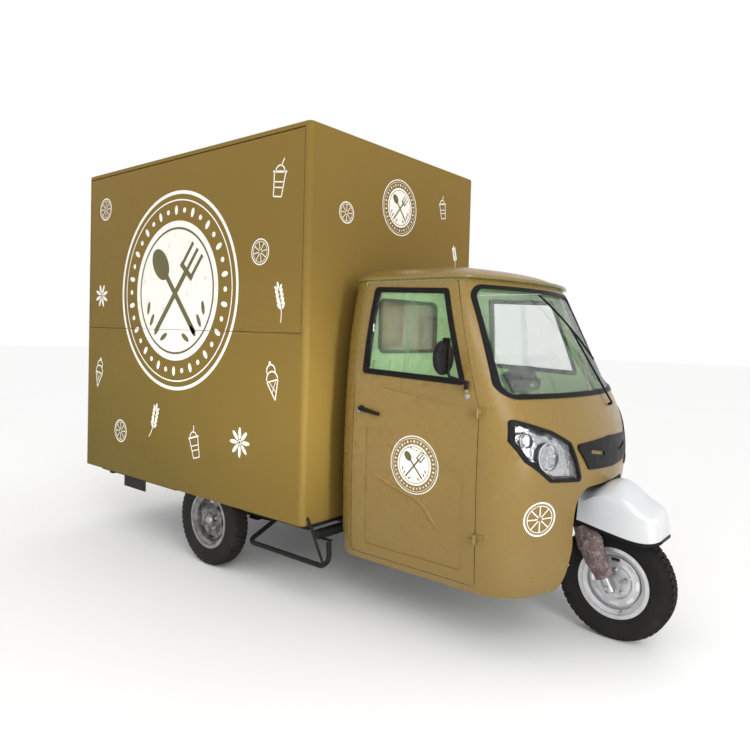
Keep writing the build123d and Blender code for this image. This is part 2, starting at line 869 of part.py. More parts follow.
# Rear axle: tube with brake backing plates, drop gear casing, motor beside it and clips round the springs
axle_plane = Plane(origin=(rear_axle_x, 0, tyre_radius), x_dir=(1, 0, 0), z_dir=(0, 1, 0))
pack_depth = len(leaf_halves) * (leaf_thick + touch_gap)
pad_top = leaf_top - pack_depth - touch_gap
clip_bend = axle_tube_radius + clip_radius + touch_gap
clip_reach = tyre_radius - pad_top + clip_thick
with BuildPart() as motor:
    with BuildSketch(axle_plane.offset(casing_half / 2)):
        with Locations((motor_ahead, 0)):
            Circle(motor_radius - clip_thick)
    extrude(amount=motor_length)
    fillet(motor.edges().sort_by(Axis.Y)[-1], radius=motor_round)
with BuildPart() as rear_axle:
    with BuildSketch(axle_plane):
        Circle(casing_radius)
        with Locations((motor_ahead, 0)):
            Circle(motor_radius)
        make_hull()
    extrude(amount=casing_half / 2, both=True)
    fillet(rear_axle.faces().filter_by(Axis.Y).edges(), radius=clip_thick)
    with BuildSketch(axle_plane):
        Circle(axle_tube_radius)
    extrude(amount=axle_tube_half, both=True)
    for side in (-1, 1):
        with BuildSketch(axle_plane.offset(side * axle_tube_half)):
            Circle(backing_plate_radius)
        extrude(amount=-side * clip_thick)
        with BuildSketch(axle_plane.offset(side * axle_tube_half)):
            Circle(half_shaft_radius + running_gap)
        extrude(amount=-side * stub_length, mode=Mode.SUBTRACT)
        for edge in (-1, 1):
            clip_y = side * rail_offset + edge * (leaf_width / 2 + clip_radius + touch_gap)
            clip_plane = Plane(origin=(rear_axle_x, clip_y, tyre_radius), x_dir=(1, 0, 0), z_dir=(0, -1, 0))
            with BuildLine(clip_plane) as clip:
                Line((-clip_bend, -clip_reach), (-clip_bend, 0))
                ThreePointArc((-clip_bend, 0), (0, clip_bend), (clip_bend, 0))
                Line((clip_bend, 0), (clip_bend, -clip_reach))
            with BuildSketch(Plane(origin=clip.line @ 0, z_dir=clip.line % 0)):
                Circle(clip_radius)
            sweep()
        with Locations((rear_axle_x, side * rail_offset, pad_top)):
            Box(
                2 * clip_bend + 4 * clip_radius,
                leaf_width + 6 * clip_radius,
                clip_thick,
                align=(Align.CENTER, Align.CENTER, Align.MAX),
            )
    add(motor.part)
write(rear_axle.part, "rear_axle")


def wheel_section(centre, out):
    """Half plane through a wheel's axis: its X runs outwards along the axle, its Y up."""
    return Plane(origin=centre, x_dir=(0, out, 0), z_dir=(out, 0, 0))


def tyre(centre):
    """Tyre with beads on the rim's seats, bulged walls and two tread grooves."""
    bead = rim_half - rim_sheet - touch_gap
    seat = bead_radius + touch_gap
    bulge = tyre_width / 2
    inner = bead - tyre_wall
    belly = (flange_radius + tyre_radius) / 2 - tyre_wall / 2
    shoulder = (bulge - tyre_wall, tyre_radius - 2 * tyre_wall)
    crown = (bulge - 2 * tyre_wall, tyre_radius - tyre_wall / 2)
    inner_top = shoulder[1] - tyre_wall
    with BuildPart() as ring:
        with BuildSketch(wheel_section(centre, 1)):
            with BuildLine():
                for side in (-1, 1):
                    heel = (side * inner, flange_radius)
                    toe = (side * bead, flange_radius)
                    Polyline(heel, (side * inner, seat), (side * bead, seat), toe)
                    ThreePointArc(toe, (side * bulge, belly), (side * shoulder[0], shoulder[1]))
                    Line((side * shoulder[0], shoulder[1]), (side * crown[0], crown[1]))
                    ThreePointArc(heel, (side * (bulge - tyre_wall), belly), (side * inner, inner_top))
                ThreePointArc((-crown[0], crown[1]), (0, tyre_radius), crown)
                ThreePointArc((-inner, inner_top), (0, tyre_radius - 2 * tyre_wall), (inner, inner_top))
            make_face()
            with Locations((-tread_place, tyre_radius), (tread_place, tyre_radius)):
                Rectangle(tread_gap, 2 * tread_groove, mode=Mode.SUBTRACT)
        revolve(axis=Axis(centre, (0, 1, 0)))
    return ring.part


def rim(centre, out, drum_depth, hub_back, hub_front):
    """Steel rim: flanged barrel with a drop well, slotted dished disc, brake drum and hub."""
    flat = rim_half / 2
    outer = rim_half - rim_sheet
    axle_line = Axis(centre, (0, out, 0))
    with BuildPart() as wheel:
        with BuildSketch(wheel_section(centre, out)):
            with BuildLine():
                Polyline(
                    (rim_half, flange_radius),
                    (outer, flange_radius),
                    (outer, bead_radius),
                    (flat + 2 * rim_sheet, bead_radius),
                    (flat, well_radius + rim_sheet),
                    (-flat, well_radius + rim_sheet),
                    (-flat - 2 * rim_sheet, bead_radius),
                    (-outer, bead_radius),
                    (-outer, flange_radius),
                    (-rim_half, flange_radius),
                    (-rim_half, bead_radius - rim_sheet),
                    (-flat - 3 * rim_sheet, bead_radius - rim_sheet),
                    (-flat - rim_sheet, well_radius),
                    (flat + rim_sheet, well_radius),
                    (flat + 3 * rim_sheet, bead_radius - rim_sheet),
                    (rim_half, bead_radius - rim_sheet),
                    close=True,
                )
            make_face()
        revolve(axis=axle_line)
        with BuildSketch(wheel_section(centre, out)):
            with BuildLine():
                Polyline(
                    (0, well_radius + rim_sheet / 2),
                    (0, dish_radius + disc_sheet),
                    (3 * disc_sheet, dish_radius),
                    (4 * disc_sheet, drum_radius + disc_sheet),
                    (3 * disc_sheet, drum_radius - disc_sheet),
                    (3 * disc_sheet, 0),
                    (2 * disc_sheet, 0),
                    (2 * disc_sheet, drum_radius - disc_sheet),
                    (3 * disc_sheet, drum_radius + disc_sheet),
                    (2 * disc_sheet, dish_radius),
                    (-disc_sheet, dish_radius + disc_sheet),
                    (-disc_sheet, well_radius + rim_sheet / 2),
                    close=True,
                )
            make_face()
        revolve(axis=axle_line)
        with BuildSketch(wheel_section(centre, out)):
            with Locations((drum_shift - drum_depth / 2, drum_radius - drum_wall / 2)):
                Rectangle(drum_depth + 2 * disc_sheet, drum_wall)
            with Locations(((hub_front - hub_back) / 2, hub_radius / 2)):
                Rectangle(hub_front + hub_back, hub_radius)
        revolve(axis=axle_line)
        with BuildSketch(Plane(origin=centre, x_dir=(1, 0, 0), z_dir=(0, out, 0))):
            with PolarLocations(slot_circle, slot_count):
                SlotOverall(slot_length, slot_tall, rotation=90)
        extrude(amount=rim_half, both=True, mode=Mode.SUBTRACT)
    return wheel.part


# Rear wheels, each with a half shaft that runs in the axle tube
rear_drum_depth = track_half - axle_tube_half - panel_gap
for name, out in (("right", -1), ("left", 1)):
    centre = (rear_axle_x, out * track_half, tyre_radius)
    write(tyre(centre), f"rear_tyre_{name}")
    with BuildPart() as rear_rim:
        add(rim(centre, out, rear_drum_depth, 0, hub_out))
        with BuildSketch(axle_plane.offset(out * track_half)):
            Circle(half_shaft_radius)
        extrude(amount=-out * (track_half - axle_tube_half + stub_length - panel_gap))
    write(rear_rim.part, f"rear_rim_{name}")

# Front wheel, bored for its axle
front_centre = (front_axle_x, 0, tyre_radius)
front_axle_plane = Plane(origin=front_centre, x_dir=(1, 0, 0), z_dir=(0, 1, 0))
write(tyre(front_centre), "front_tyre")
with BuildPart() as front_rim:
    add(rim(front_centre, -1, front_drum_depth, front_hub_half, front_hub_half))
    with BuildSketch(front_axle_plane):
        Circle(front_axle_radius + running_gap)
    extrude(amount=front_hub_half, both=True, mode=Mode.SUBTRACT)
write(front_rim.part, "front_rim")

# Fork sliders, bored for the stanchions, with the wheel's axle across them
legs = [(0, -leg_spread), (0, leg_spread)]
with BuildPart() as fork_sliders:
    with BuildSketch(fork_plane.offset(slider_low)):
        with Locations(*legs):
            Circle(slider_radius)
    extrude(amount=slider_high - slider_low)
    chamfer(fork_sliders.edges().filter_by(GeomType.CIRCLE), length=slider_edge)
    with BuildSketch(fork_plane.offset(slider_floor)):
        with Locations(*legs):
            Circle(stanchion_radius + running_gap)
    extrude(amount=slider_high, mode=Mode.SUBTRACT)
    with BuildSketch(front_axle_plane):
        Circle(front_axle_radius)
    extrude(amount=leg_spread + slider_radius + 2 * front_axle_radius, both=True)
write(fork_sliders.part, "fork_sliders")

# Loose dust sleeves round the sliders, drawn in at two waists
sleeve_span = sleeve_high - sleeve_low
sleeve_wave = [
    (sleeve_radius if step % 2 else sleeve_waist, sleeve_span * step / sleeve_swells)
    for step in range(sleeve_swells + 1)
]
with BuildPart() as fork_sleeves:
    for leg in legs:
        sleeve_origin = fork_point(*leg, sleeve_low)
        with BuildSketch(Plane(origin=sleeve_origin, x_dir=(0, 1, 0), z_dir=fork_plane.x_dir)):
            with BuildLine():
                Spline(*sleeve_wave)
                Polyline(
                    (sleeve_radius, sleeve_span),
                    (slider_radius + touch_gap, sleeve_span),
                    (slider_radius + touch_gap, 0),
                    (sleeve_waist, 0),
                )
            make_face()
        revolve(axis=Axis(sleeve_origin, fork_plane.z_dir))
write(fork_sleeves.part, "fork_sleeves")

# Fork crown: two yokes, stanchions and the steering stem, with arms out to the mudguard's sides
arm_out = mudguard_stations[1][4] - mudguard_skin - touch_gap
with BuildPart() as fork_crown:
    for yoke in (lower_yoke, upper_yoke):
        with BuildSketch(fork_plane.offset(yoke)):
            with Locations(*legs, (-fork_offset, 0)):
                Circle(yoke_boss)
            make_hull()
        extrude(amount=yoke_thick)
    with BuildSketch(fork_plane.offset(lower_yoke)):
        for side in (-1, 1):
            with Locations((arm_ahead / 2, side * (arm_out - arm_thick / 2))):
                Rectangle(arm_ahead, arm_thick)
            with Locations((0, side * (leg_spread + arm_out) / 2)):
                Rectangle(yoke_boss, arm_out - leg_spread)
    extrude(amount=arm_tall)
    with BuildSketch(fork_plane.offset(stanchion_low)):
        with Locations(*legs):
            Circle(stanchion_radius)
    extrude(amount=upper_yoke + yoke_thick - stanchion_low)
    with BuildSketch(fork_plane.offset(lower_yoke)):
        with Locations((-fork_offset, 0)):
            Circle(stem_radius)
    extrude(amount=stem_top - lower_yoke)
write(fork_crown.part, "fork_crown")

# Handlebar: clamp on the stem and a swept-back bar, with the left grip pushed on
bar_middle = fork_point(-fork_offset, 0, stem_top + clamp_high / 2)
bar_end = Vector(-bar_sweep, bar_half, bar_rise)
bar_elbow = Vector(0, bar_bend, 0)
grip_way = (bar_end - bar_elbow).normalized()


def bar_plane(side, distance):
    """Plane square to the bar's end, at a distance back from its tip."""
    place = bar_end - grip_way * distance
    origin = bar_middle + Vector(place.X, side * place.Y, place.Z)
    return Plane(origin=origin, z_dir=Vector(-grip_way.X, -side * grip_way.Y, -grip_way.Z))


with BuildPart() as handlebar:
    with BuildLine() as bar:
        FilletPolyline(
            bar_middle + Vector(bar_end.X, -bar_end.Y, bar_end.Z),
            bar_middle - bar_elbow,
            bar_middle + bar_elbow,
            bar_middle + bar_end,
            radius=bar_turn,
        )
    with BuildSketch(Plane(origin=bar.line @ 0, z_dir=bar.line % 0)):
        Circle(bar_radius)
    sweep()
    with BuildSketch(fork_plane.offset(stem_top)):
        with Locations((-fork_offset, 0)):
            RectangleRounded(clamp_long, clamp_wide, stem_radius / 2)
    extrude(amount=clamp_high)
    with BuildSketch(bar_plane(1, 0)):
        Circle(grip_radius)
        Circle(bar_radius + running_gap, mode=Mode.SUBTRACT)
    extrude(amount=grip_length)
write(handlebar.part, "handlebar")

with BuildPart() as throttle_grip:
    with BuildSketch(bar_plane(-1, 0)):
        Circle(grip_radius)
        Circle(bar_radius + running_gap, mode=Mode.SUBTRACT)
    extrude(amount=grip_length)
write(throttle_grip.part, "throttle_grip")

# Instrument pod on the clamp, its face turned up and back, with two dial wells
pod_plane = fork_plane.offset(stem_top + clamp_high)
with BuildPart() as instrument_cluster:
    with BuildSketch(pod_plane):
        with Locations((-fork_offset, 0)):
            Rectangle(clamp_long, clamp_wide)
    extrude(amount=pod_up)
    with BuildSketch(pod_plane.offset(pod_up)):
        with Locations((-fork_offset, 0)):
            RectangleRounded(pod_tall, 2 * pod_half, dial_radius / 2)
    extrude(amount=pod_deep)
    fillet(instrument_cluster.faces().sort_by(SortBy.AREA)[-1].edges(), radius=dial_radius / 5)
    with BuildSketch(pod_plane.offset(pod_up + pod_deep)):
        with Locations((-fork_offset, -pod_half / 2), (-fork_offset, pod_half / 2)):
            Circle(dial_radius)
    extrude(amount=-dial_radius / 4, mode=Mode.SUBTRACT)
write(instrument_cluster.part, "instrument_cluster")


def mudguard_form(inset, opening):
    """Solid under the mudguard's surface moved inwards, let down below its edge by the opening."""
    with BuildPart() as form:
        for distance, low, half, crease, crease_half, crown in mudguard_stations:
            with BuildSketch(Plane.YZ.offset(ahead(distance) - inset)):
                with BuildLine():
                    base = low - opening
                    fold = (crease_half - inset, crease - inset)
                    other_fold = (inset - crease_half, crease - inset)
                    Line((half - inset, base), fold)
                    ThreePointArc(fold, (0, crown - inset), other_fold)
                    Line(other_fold, (inset - half, base))
                    Line((inset - half, base), (half - inset, base))
                make_face()
        loft()
    return form.part


def edge_band(grow, tall):
    """Band along the mudguard's lower edge, grown outwards."""
    with BuildPart() as band:
        for distance, low, half, *_ in mudguard_stations:
            with BuildSketch(Plane.YZ.offset(ahead(distance) + grow)):
                with Locations((0, low - trim_gap - trim_height / 2)):
                    Rectangle(2 * (half + grow), tall)
        loft()
    return band.part


# Mudguard: arched shell with a crease along each side, open below and behind
with BuildPart() as mudguard:
    add(mudguard_form(0, 0))
    add(mudguard_form(mudguard_skin, 4 * mudguard_skin), mode=Mode.SUBTRACT)
write(mudguard.part, "mudguard")

with BuildPart() as mudguard_trim:
    add(edge_band(trim_proud, trim_height))
    add(edge_band(trim_proud - trim_thick, 4 * trim_height), mode=Mode.SUBTRACT)
write(mudguard_trim.part, "mudguard_trim")


def outline(points, rounding, shrink=0):
    """Round-cornered outline through points, drawn in by an amount."""
    with BuildSketch() as shape:
        with BuildLine():
            Polyline(*points, close=True)
        make_face()
        if shrink:
            offset(amount=-shrink, kind=Kind.INTERSECTION)
        fillet(shape.vertices(), radius=max(rounding - shrink, small_round))
    return shape.sketch


def screen_outline(shrink):
    """Windscreen in front view, with larger corners at the top."""
    with BuildSketch() as shape:
        with BuildLine():
            Polyline(
                (-screen_low_half, screen_low),
                (screen_low_half, screen_low),
                (screen_high_half, screen_high),
                (-screen_high_half, screen_high),
                close=True,
            )
        make_face()
        offset(amount=-shrink, kind=Kind.INTERSECTION)
        fillet(shape.vertices().group_by(Axis.Y)[0], radius=screen_low_round - shrink)
        fillet(shape.vertices().group_by(Axis.Y)[-1], radius=screen_high_round - shrink)
    return shape.sketch


def behind(wall, plane, shape, reach):
    """Piece of a curved wall that lies behind an outline."""
    with BuildPart() as piece:
        add(wall)
        with BuildSketch(plane):
            add(shape)
        extrude(amount=reach, mode=Mode.INTERSECT)
    return piece.part


def ring(outer, inner):
    """Outline with another cut out of it."""
    with BuildSketch() as band:
        add(outer)
        add(inner, mode=Mode.SUBTRACT)
    return band.sketch


def nose_point(side, height, out):
    """Point in front of the nose's arched face, a distance out from it."""
    front = station_at(height)[1]
    lower, upper = station_at(height - panel_gap)[1], station_at(height + panel_gap)[1]
    level = sqrt(nose_radius**2 - side**2)
    normal = Vector(level / nose_radius, side / nose_radius, (lower - upper) / (2 * panel_gap)).normalized()
    return Vector(ahead(front) - nose_radius + level, side, height) + normal * out


# Cab door hinge line
hinge_x = ahead(seam_ahead) - panel_gap / 2
hinge_y = cab_stations[2][1] + hinge_axis_out


def hinge_half(height, toward):
    """Leaf, web and bored knuckle of a right door hinge, ahead on the body or behind on the door."""
    tall = hinge_tall / 2 - touch_gap
    middle = height + toward * hinge_tall / 4
    skin = station_at(height)[0]
    with BuildPart() as half:
        with Locations((hinge_x, -hinge_y, middle)):
            Cylinder(hinge_knuckle, tall)
        with Locations((hinge_x + toward * (hinge_leaf + hinge_knuckle) / 2, -skin, middle)):
            Box(hinge_leaf - hinge_knuckle, 2 * hinge_sheet, tall)
        with Locations((hinge_x + toward * hinge_knuckle, -(skin + hinge_y) / 2, middle)):
            Box(2 * hinge_knuckle - panel_gap, hinge_y - skin + hinge_sheet, tall)
        with Locations((hinge_x, -hinge_y, middle)):
            Cylinder(hinge_pin + running_gap, tall, mode=Mode.SUBTRACT)
    return half.part


# Outlines on the cab in front view
lamp_left = outline(lamp_points, lamp_round)
grille_shape = outline(
    [*grille_points, *[(-side, height) for side, height in reversed(grille_points) if side]],
    grille_round,
)
arch_corners = (
    (arch_flare_half, cab_low - panel_gap),
    (arch_half, arch_flare_top),
    (arch_half, arch_top),
    (-arch_half, arch_top),
    (-arch_half, arch_flare_top),
    (-arch_flare_half, cab_low - panel_gap),
)
cab_shell = cab_wall(0, cab_skin)

# Dash shelf behind the nose, running into its skin
with BuildPart() as dash_shelf:
    add(cab_layer(cab_skin / 2))
    with Locations((ahead(dash_back), 0, dash_low)):
        Box(
            front_reach,
            2 * dash_half,
            dash_high - dash_low,
            align=(Align.MIN, Align.CENTER, Align.MIN),
            mode=Mode.INTERSECT,
        )

# Wiper spindle: square to the nose's middle line, so that the arm sweeps evenly to both sides
spindle_seat = nose_point(*wiper_pivot, 0)
spindle_way = nose_point(0, wiper_pivot[1], 1) - nose_point(0, wiper_pivot[1], 0)
spindle_head = spindle_seat + spindle_way * wiper_out

# Cab front shell: nose, pillars and dash shelf in one, with the body halves of the door hinges
with BuildPart() as cab_front:
    add(cab_shell)
    with BuildSketch(Plane.XZ):
        with BuildLine():
            Polyline(
                (ahead(seam_ahead), cab_low),
                (ahead(front_axle_ahead), cab_low),
                (ahead(front_axle_ahead), cab_top),
                (ahead(seam_top_ahead), cab_top),
                (ahead(seam_ahead), seam_knee),
                close=True,
            )
        make_face()
    extrude(amount=side_reach, both=True, mode=Mode.INTERSECT)
    with BuildSketch(front_view):
        add(screen_outline(0))
        add(lamp_left)
        mirror(lamp_left, about=Plane.YZ)
    extrude(amount=front_reach, mode=Mode.SUBTRACT)
    with BuildSketch(front_view) as arch:
        with BuildLine():
            Polyline(*arch_corners, close=True)
        make_face()
        fillet(arch.vertices().group_by(Axis.Y)[-1], radius=arch_round)
        fillet(arch.vertices().group_by(Axis.Y)[1], radius=arch_round)
    extrude(amount=front_reach, mode=Mode.SUBTRACT)
    add(dash_shelf.part)
    with BuildSketch(Plane(origin=spindle_seat, z_dir=spindle_way)):
        Circle(wiper_spindle + running_gap)
    extrude(amount=2 * wiper_out, both=True, mode=Mode.SUBTRACT)
    for height in hinge_heights:
        body_half = hinge_half(height, 1)
        add(body_half)
        mirror(body_half, about=Plane.XZ)
write(cab_front.part, "cab_front")

# Cab rear shell: back wall with its window and pressed ribs, rear pillars and sills
back_face = Plane.YZ.offset(ahead(cab_back))
window_middle = (rear_window_low + rear_window_high) / 2
window_tall = rear_window_high - rear_window_low


def rear_window(shrink):
    """Rear window in back view, drawn in by an amount."""
    with BuildSketch() as shape:
        with Locations((0, window_middle)):
            RectangleRounded(
                2 * (rear_window_half - shrink), window_tall - 2 * shrink, rear_window_round - shrink
            )
    return shape.sketch


with BuildPart() as cab_rear:
    add(cab_shell)
    with BuildSketch(Plane.XZ):
        with BuildLine():
            Polyline(
                (ahead(0), cab_low),
                (ahead(seam_ahead), cab_low),
                (ahead(seam_ahead), sill_top),
                (ahead(pillar_ahead), sill_top),
                (ahead(pillar_ahead), cab_top),
                (ahead(0), cab_top),
                close=True,
            )
        make_face()
    extrude(amount=side_reach, both=True, mode=Mode.INTERSECT)
    with BuildSketch(back_face):
        add(rear_window(0))
    extrude(amount=2 * cab_skin, both=True, mode=Mode.SUBTRACT)
    with Locations((ahead(cab_back), 0, cab_low)):
        Box(
            2 * back_corner,
            2 * outrigger_half - back_corner,
            floor_level - cab_low,
            align=on_floor,
            mode=Mode.SUBTRACT,
        )
    with BuildSketch(back_face.offset(cab_skin)):
        with Locations((0, (rib_low + rib_high) / 2)):
            with GridLocations(rib_pitch, 0, rib_count, 1):
                RectangleRounded(rib_width, rib_high - rib_low, rib_width / 3)
    extrude(amount=rib_raise, taper=rib_taper)
write(cab_rear.part, "cab_rear")

# Cab roof: rim on the shells, overhanging lip with a visor, and a low dome
roof_half, roof_front, roof_small = cab_stations[-1][1:]


def roof_plan(inset, visor):
    """Roof outline drawn in by an inset, with its front carried out by the visor."""
    cab_outline(
        roof_half - inset,
        ahead(roof_front) - inset + visor,
        ahead(cab_back) + inset,
        max(roof_small - inset, roof_corner),
        nose_radius,
        max(back_corner - inset, roof_corner),
    )


with BuildPart() as roof_inside:
    for rise, inset in roof_rise:
        with BuildSketch(Plane.XY.offset(roof_lip_high + rise - roof_skin)):
            with BuildLine():
                roof_plan(inset + roof_skin, 0)
            make_face()
    loft()
with BuildPart() as roof_dome:
    for rise, inset in roof_rise:
        with BuildSketch(Plane.XY.offset(roof_lip_high + rise)):
            with BuildLine():
                roof_plan(inset, 0)
            make_face()
    loft()
with BuildPart() as cab_roof:
    with BuildSketch(Plane.XY.offset(roof_lip_low)):
        with BuildLine():
            roof_plan(-roof_overhang, roof_visor - roof_overhang)
        make_face()
    extrude(amount=roof_lip_high - roof_lip_low)
    chamfer(cab_roof.faces().sort_by(Axis.Z)[-1].edges(), length=small_round)
    with BuildSketch(Plane.XY.offset(cab_top)):
        with BuildLine():
            roof_plan(0, 0)
        make_face()
    extrude(amount=roof_lip_low - cab_top)
    add(roof_dome.part)
    with BuildSketch(Plane.XY.offset(cab_top)):
        with BuildLine():
            roof_plan(roof_skin + small_round, 0)
        make_face()
    extrude(amount=roof_lip_high - roof_skin - cab_top, mode=Mode.SUBTRACT)
    add(roof_inside.part, mode=Mode.SUBTRACT)
write(cab_roof.part, "cab_roof")

# Windscreen and rear window, each inside its rubber seal
fit_gap = touch_gap / 2
screen_seal_shape = ring(screen_outline(fit_gap), screen_outline(seal_width))
with BuildPart() as cab_seals:
    add(behind(cab_wall(-seal_proud, seal_depth), front_view, screen_seal_shape, front_reach))
    with BuildSketch(back_face.offset(-seal_proud)):
        add(ring(rear_window(fit_gap), rear_window(seal_width)))
    extrude(amount=seal_proud + seal_depth)
write(cab_seals.part, "cab_seals")

with BuildPart() as cab_glass:
    glass_wall = cab_wall(glass_out, glass_out + glass_thick)
    add(behind(glass_wall, front_view, screen_outline(seal_width + touch_gap), front_reach))
    with BuildSketch(back_face.offset(glass_out)):
        add(rear_window(seal_width + touch_gap))
    extrude(amount=glass_thick)
write(cab_glass.part, "cab_glass")

# Headlamps: bezel and back in one tray, two reflector cups, and a lens flush with the nose
with BuildPart() as headlamp_housings:
    tray_wall = cab_wall(-seal_proud, lamp_depth)
    add(behind(tray_wall, lamp_view, outline(lamp_points, lamp_round, touch_gap), front_reach))
    tray_room = cab_wall(-2 * seal_proud, lamp_depth - lens_thick)
    room_shape = outline(lamp_points, lamp_round, lamp_bezel)
    add(behind(tray_room, lamp_view, room_shape, front_reach), mode=Mode.SUBTRACT)
    cup_wall = cab_wall(3 * lens_thick, lamp_depth)
    for place, radius in ((lamp_bowl_place, lamp_bowl), (indicator_place, indicator_bowl)):
        with BuildSketch() as cup:
            with Locations(place):
                Circle(radius)
                Circle(radius - lens_thick, mode=Mode.SUBTRACT)
        add(behind(cup_wall, lamp_view, cup.sketch, front_reach))
    mirror(about=Plane.XZ)
write(headlamp_housings.part, "headlamp_housings")

lens_shape = outline(lamp_points, lamp_round, lamp_bezel + touch_gap)
with BuildPart() as headlamp_lenses:
    add(behind(cab_wall(0, lens_thick), lamp_view, lens_shape, front_reach))
    mirror(about=Plane.XZ)
write(headlamp_lenses.part, "headlamp_lenses")

# Grille: dark plate on the nose with a slanted slot each side
with BuildPart() as grille:
    add(behind(cab_wall(-grille_thick, -touch_gap), front_view, grille_shape, front_reach))
    with BuildSketch(front_view):
        for side in (-1, 1):
            with Locations((side * grille_slot_place[0], grille_slot_place[1])):
                SlotOverall(2 * grille_slot_half, grille_slot_height, rotation=side * grille_slot_tilt)
    extrude(amount=front_reach, mode=Mode.SUBTRACT)
write(grille.part, "grille")

# Cab floor with the wheel well and the brackets of pedal and parking brake, and the seat box on it
well_length = well_front - well_back
well_middle = ahead((well_back + well_front) / 2)
floor_top = floor_level + floor_sheet
box_roof_z = seat_top - cushion_thick - touch_gap
seat_middle = ahead((seat_back + seat_front) / 2)
seat_box_length = seat_front - seat_back - 2 * seat_box_in
seat_box_half = seat_half - seat_box_in
door_zone = seam_ahead - pillar_ahead + 2 * panel_gap
with BuildPart() as cab_floor:
    add(cab_layer(cab_skin + touch_gap))
    with Locations((ahead(seam_ahead), 0, floor_level)):
        Box(2 * front_reach, box_width, floor_sheet, align=on_floor, mode=Mode.INTERSECT)
    for side in (-1, 1):
        with Locations((ahead((seam_ahead + pillar_ahead) / 2), side * box_half, floor_level)):
            Box(
                door_zone,
                2 * (box_half - cab_stations[0][1] + door_thick + panel_gap),
                floor_sheet,
                align=on_floor,
                mode=Mode.SUBTRACT,
            )
    with Locations((well_middle, 0, floor_level)):
        Box(well_length, 2 * well_half, well_top - floor_level, align=on_floor)
    with Locations((well_middle + well_sheet, 0, floor_level)):
        Box(
            well_length,
            2 * (well_half - well_sheet),
            well_top - well_sheet - floor_level,
            align=on_floor,
            mode=Mode.SUBTRACT,
        )
    with Locations((ahead(well_front), 0, floor_level)):
        Box(
            front_reach,
            2 * (well_half - well_sheet),
            floor_sheet,
            align=(Align.MIN, Align.CENTER, Align.MIN),
            mode=Mode.SUBTRACT,
        )
    with BuildSketch(fork_plane.offset(upper_yoke + yoke_thick)):
        with Locations((-fork_offset, 0)):
            Circle(stem_hole)
    extrude(amount=stem_top - upper_yoke, mode=Mode.SUBTRACT)
    with Locations((seat_middle, 0, floor_top + touch_gap)):
        Box(seat_box_length, 2 * seat_box_half, box_roof_z - floor_top - touch_gap, align=on_floor)
    with Locations((seat_middle, 0, floor_top)):
        Box(
            seat_box_length - 2 * seat_box_sheet,
            2 * (seat_box_half - seat_box_sheet),
            box_roof_z - seat_box_sheet - floor_top,
            align=on_floor,
            mode=Mode.SUBTRACT,
        )
    with Locations((seat_middle + seat_box_length / 2, 0, (floor_top + box_roof_z) / 2)):
        Box(4 * seat_box_sheet, seat_box_half, cushion_thick, mode=Mode.SUBTRACT)
    pedal_x = ahead(pedal_ahead)
    for cheek in (-1, 1):
        cheek_y = pedal_offset + cheek * (pedal_arm / 2 + bracket_gap + plate / 2)
        with Locations((pedal_x - 2 * pedal_pin, cheek_y, pedal_height)):
            Box(
                ahead(well_back) - pedal_x + 2 * pedal_pin + well_sheet,
                plate,
                6 * pedal_pin,
                align=(Align.MIN, Align.CENTER, Align.CENTER),
            )
        lever_y = brake_offset + cheek * (pedal_arm / 2 + bracket_gap + plate / 2)
        with Locations((ahead(brake_ahead), lever_y, floor_level)):
            Box(6 * brake_pin, plate, brake_rise + 2 * brake_pin, align=on_floor)
    for pin_x, pin_y, pin_z in (
        (pedal_x, pedal_offset, pedal_height),
        (ahead(brake_ahead), brake_offset, floor_level + brake_rise),
    ):
        with BuildSketch(Plane.XZ.offset(-pin_y)):
            with Locations((pin_x, pin_z)):
                Circle(pedal_pin)
        extrude(amount=pedal_arm / 2 + bracket_gap + plate, both=True)
write(cab_floor.part, "cab_floor")

# Brake pedal: hanging arm with a broad pad
pad_x = pedal_x - pedal_back
pad_z = pedal_height - pedal_drop
with BuildPart() as brake_pedal:
    with BuildSketch(Plane.XZ.offset(-pedal_offset)):
        with Locations((pedal_x, pedal_height)):
            Circle(2 * pedal_pin)
        with Locations((pad_x, pad_z)):
            Circle(pedal_toe)
        make_hull()
        with Locations((pedal_x, pedal_height)):
            Circle(pedal_pin + running_gap, mode=Mode.SUBTRACT)
    extrude(amount=pedal_arm / 2, both=True)
    with Locations((pad_x, pedal_offset, pad_z)):
        Box(pedal_arm, pedal_wide, 3 * pedal_arm, rotation=(0, degrees(atan2(pedal_back, pedal_drop)), 0))
    fillet(brake_pedal.faces().sort_by(Axis.X)[0].edges(), radius=small_round)
write(brake_pedal.part, "brake_pedal")

# Parking brake: lever that lies back beside the seat, with a thicker grip
lever_x = ahead(brake_ahead)
lever_z = floor_level + brake_rise
with BuildPart() as parking_brake:
    with BuildSketch(Plane.XZ.offset(-brake_offset)):
        with Locations((lever_x, lever_z)):
            Circle(2 * brake_pin)
        with Locations((lever_x - brake_length, lever_z + brake_rise)):
            Circle(brake_pin)
        make_hull()
        with Locations((lever_x, lever_z)):
            Circle(brake_pin + running_gap, mode=Mode.SUBTRACT)
    extrude(amount=pedal_arm / 2, both=True)
    grip_end = Vector(lever_x - brake_length, brake_offset, lever_z + brake_rise)
    grip_run = Vector(lever_x, brake_offset, lever_z) - grip_end
    add(rod(grip_end, grip_end + grip_run * (grip_length / brake_length), pedal_arm - brake_pin / 2))
write(parking_brake.part, "parking_brake")


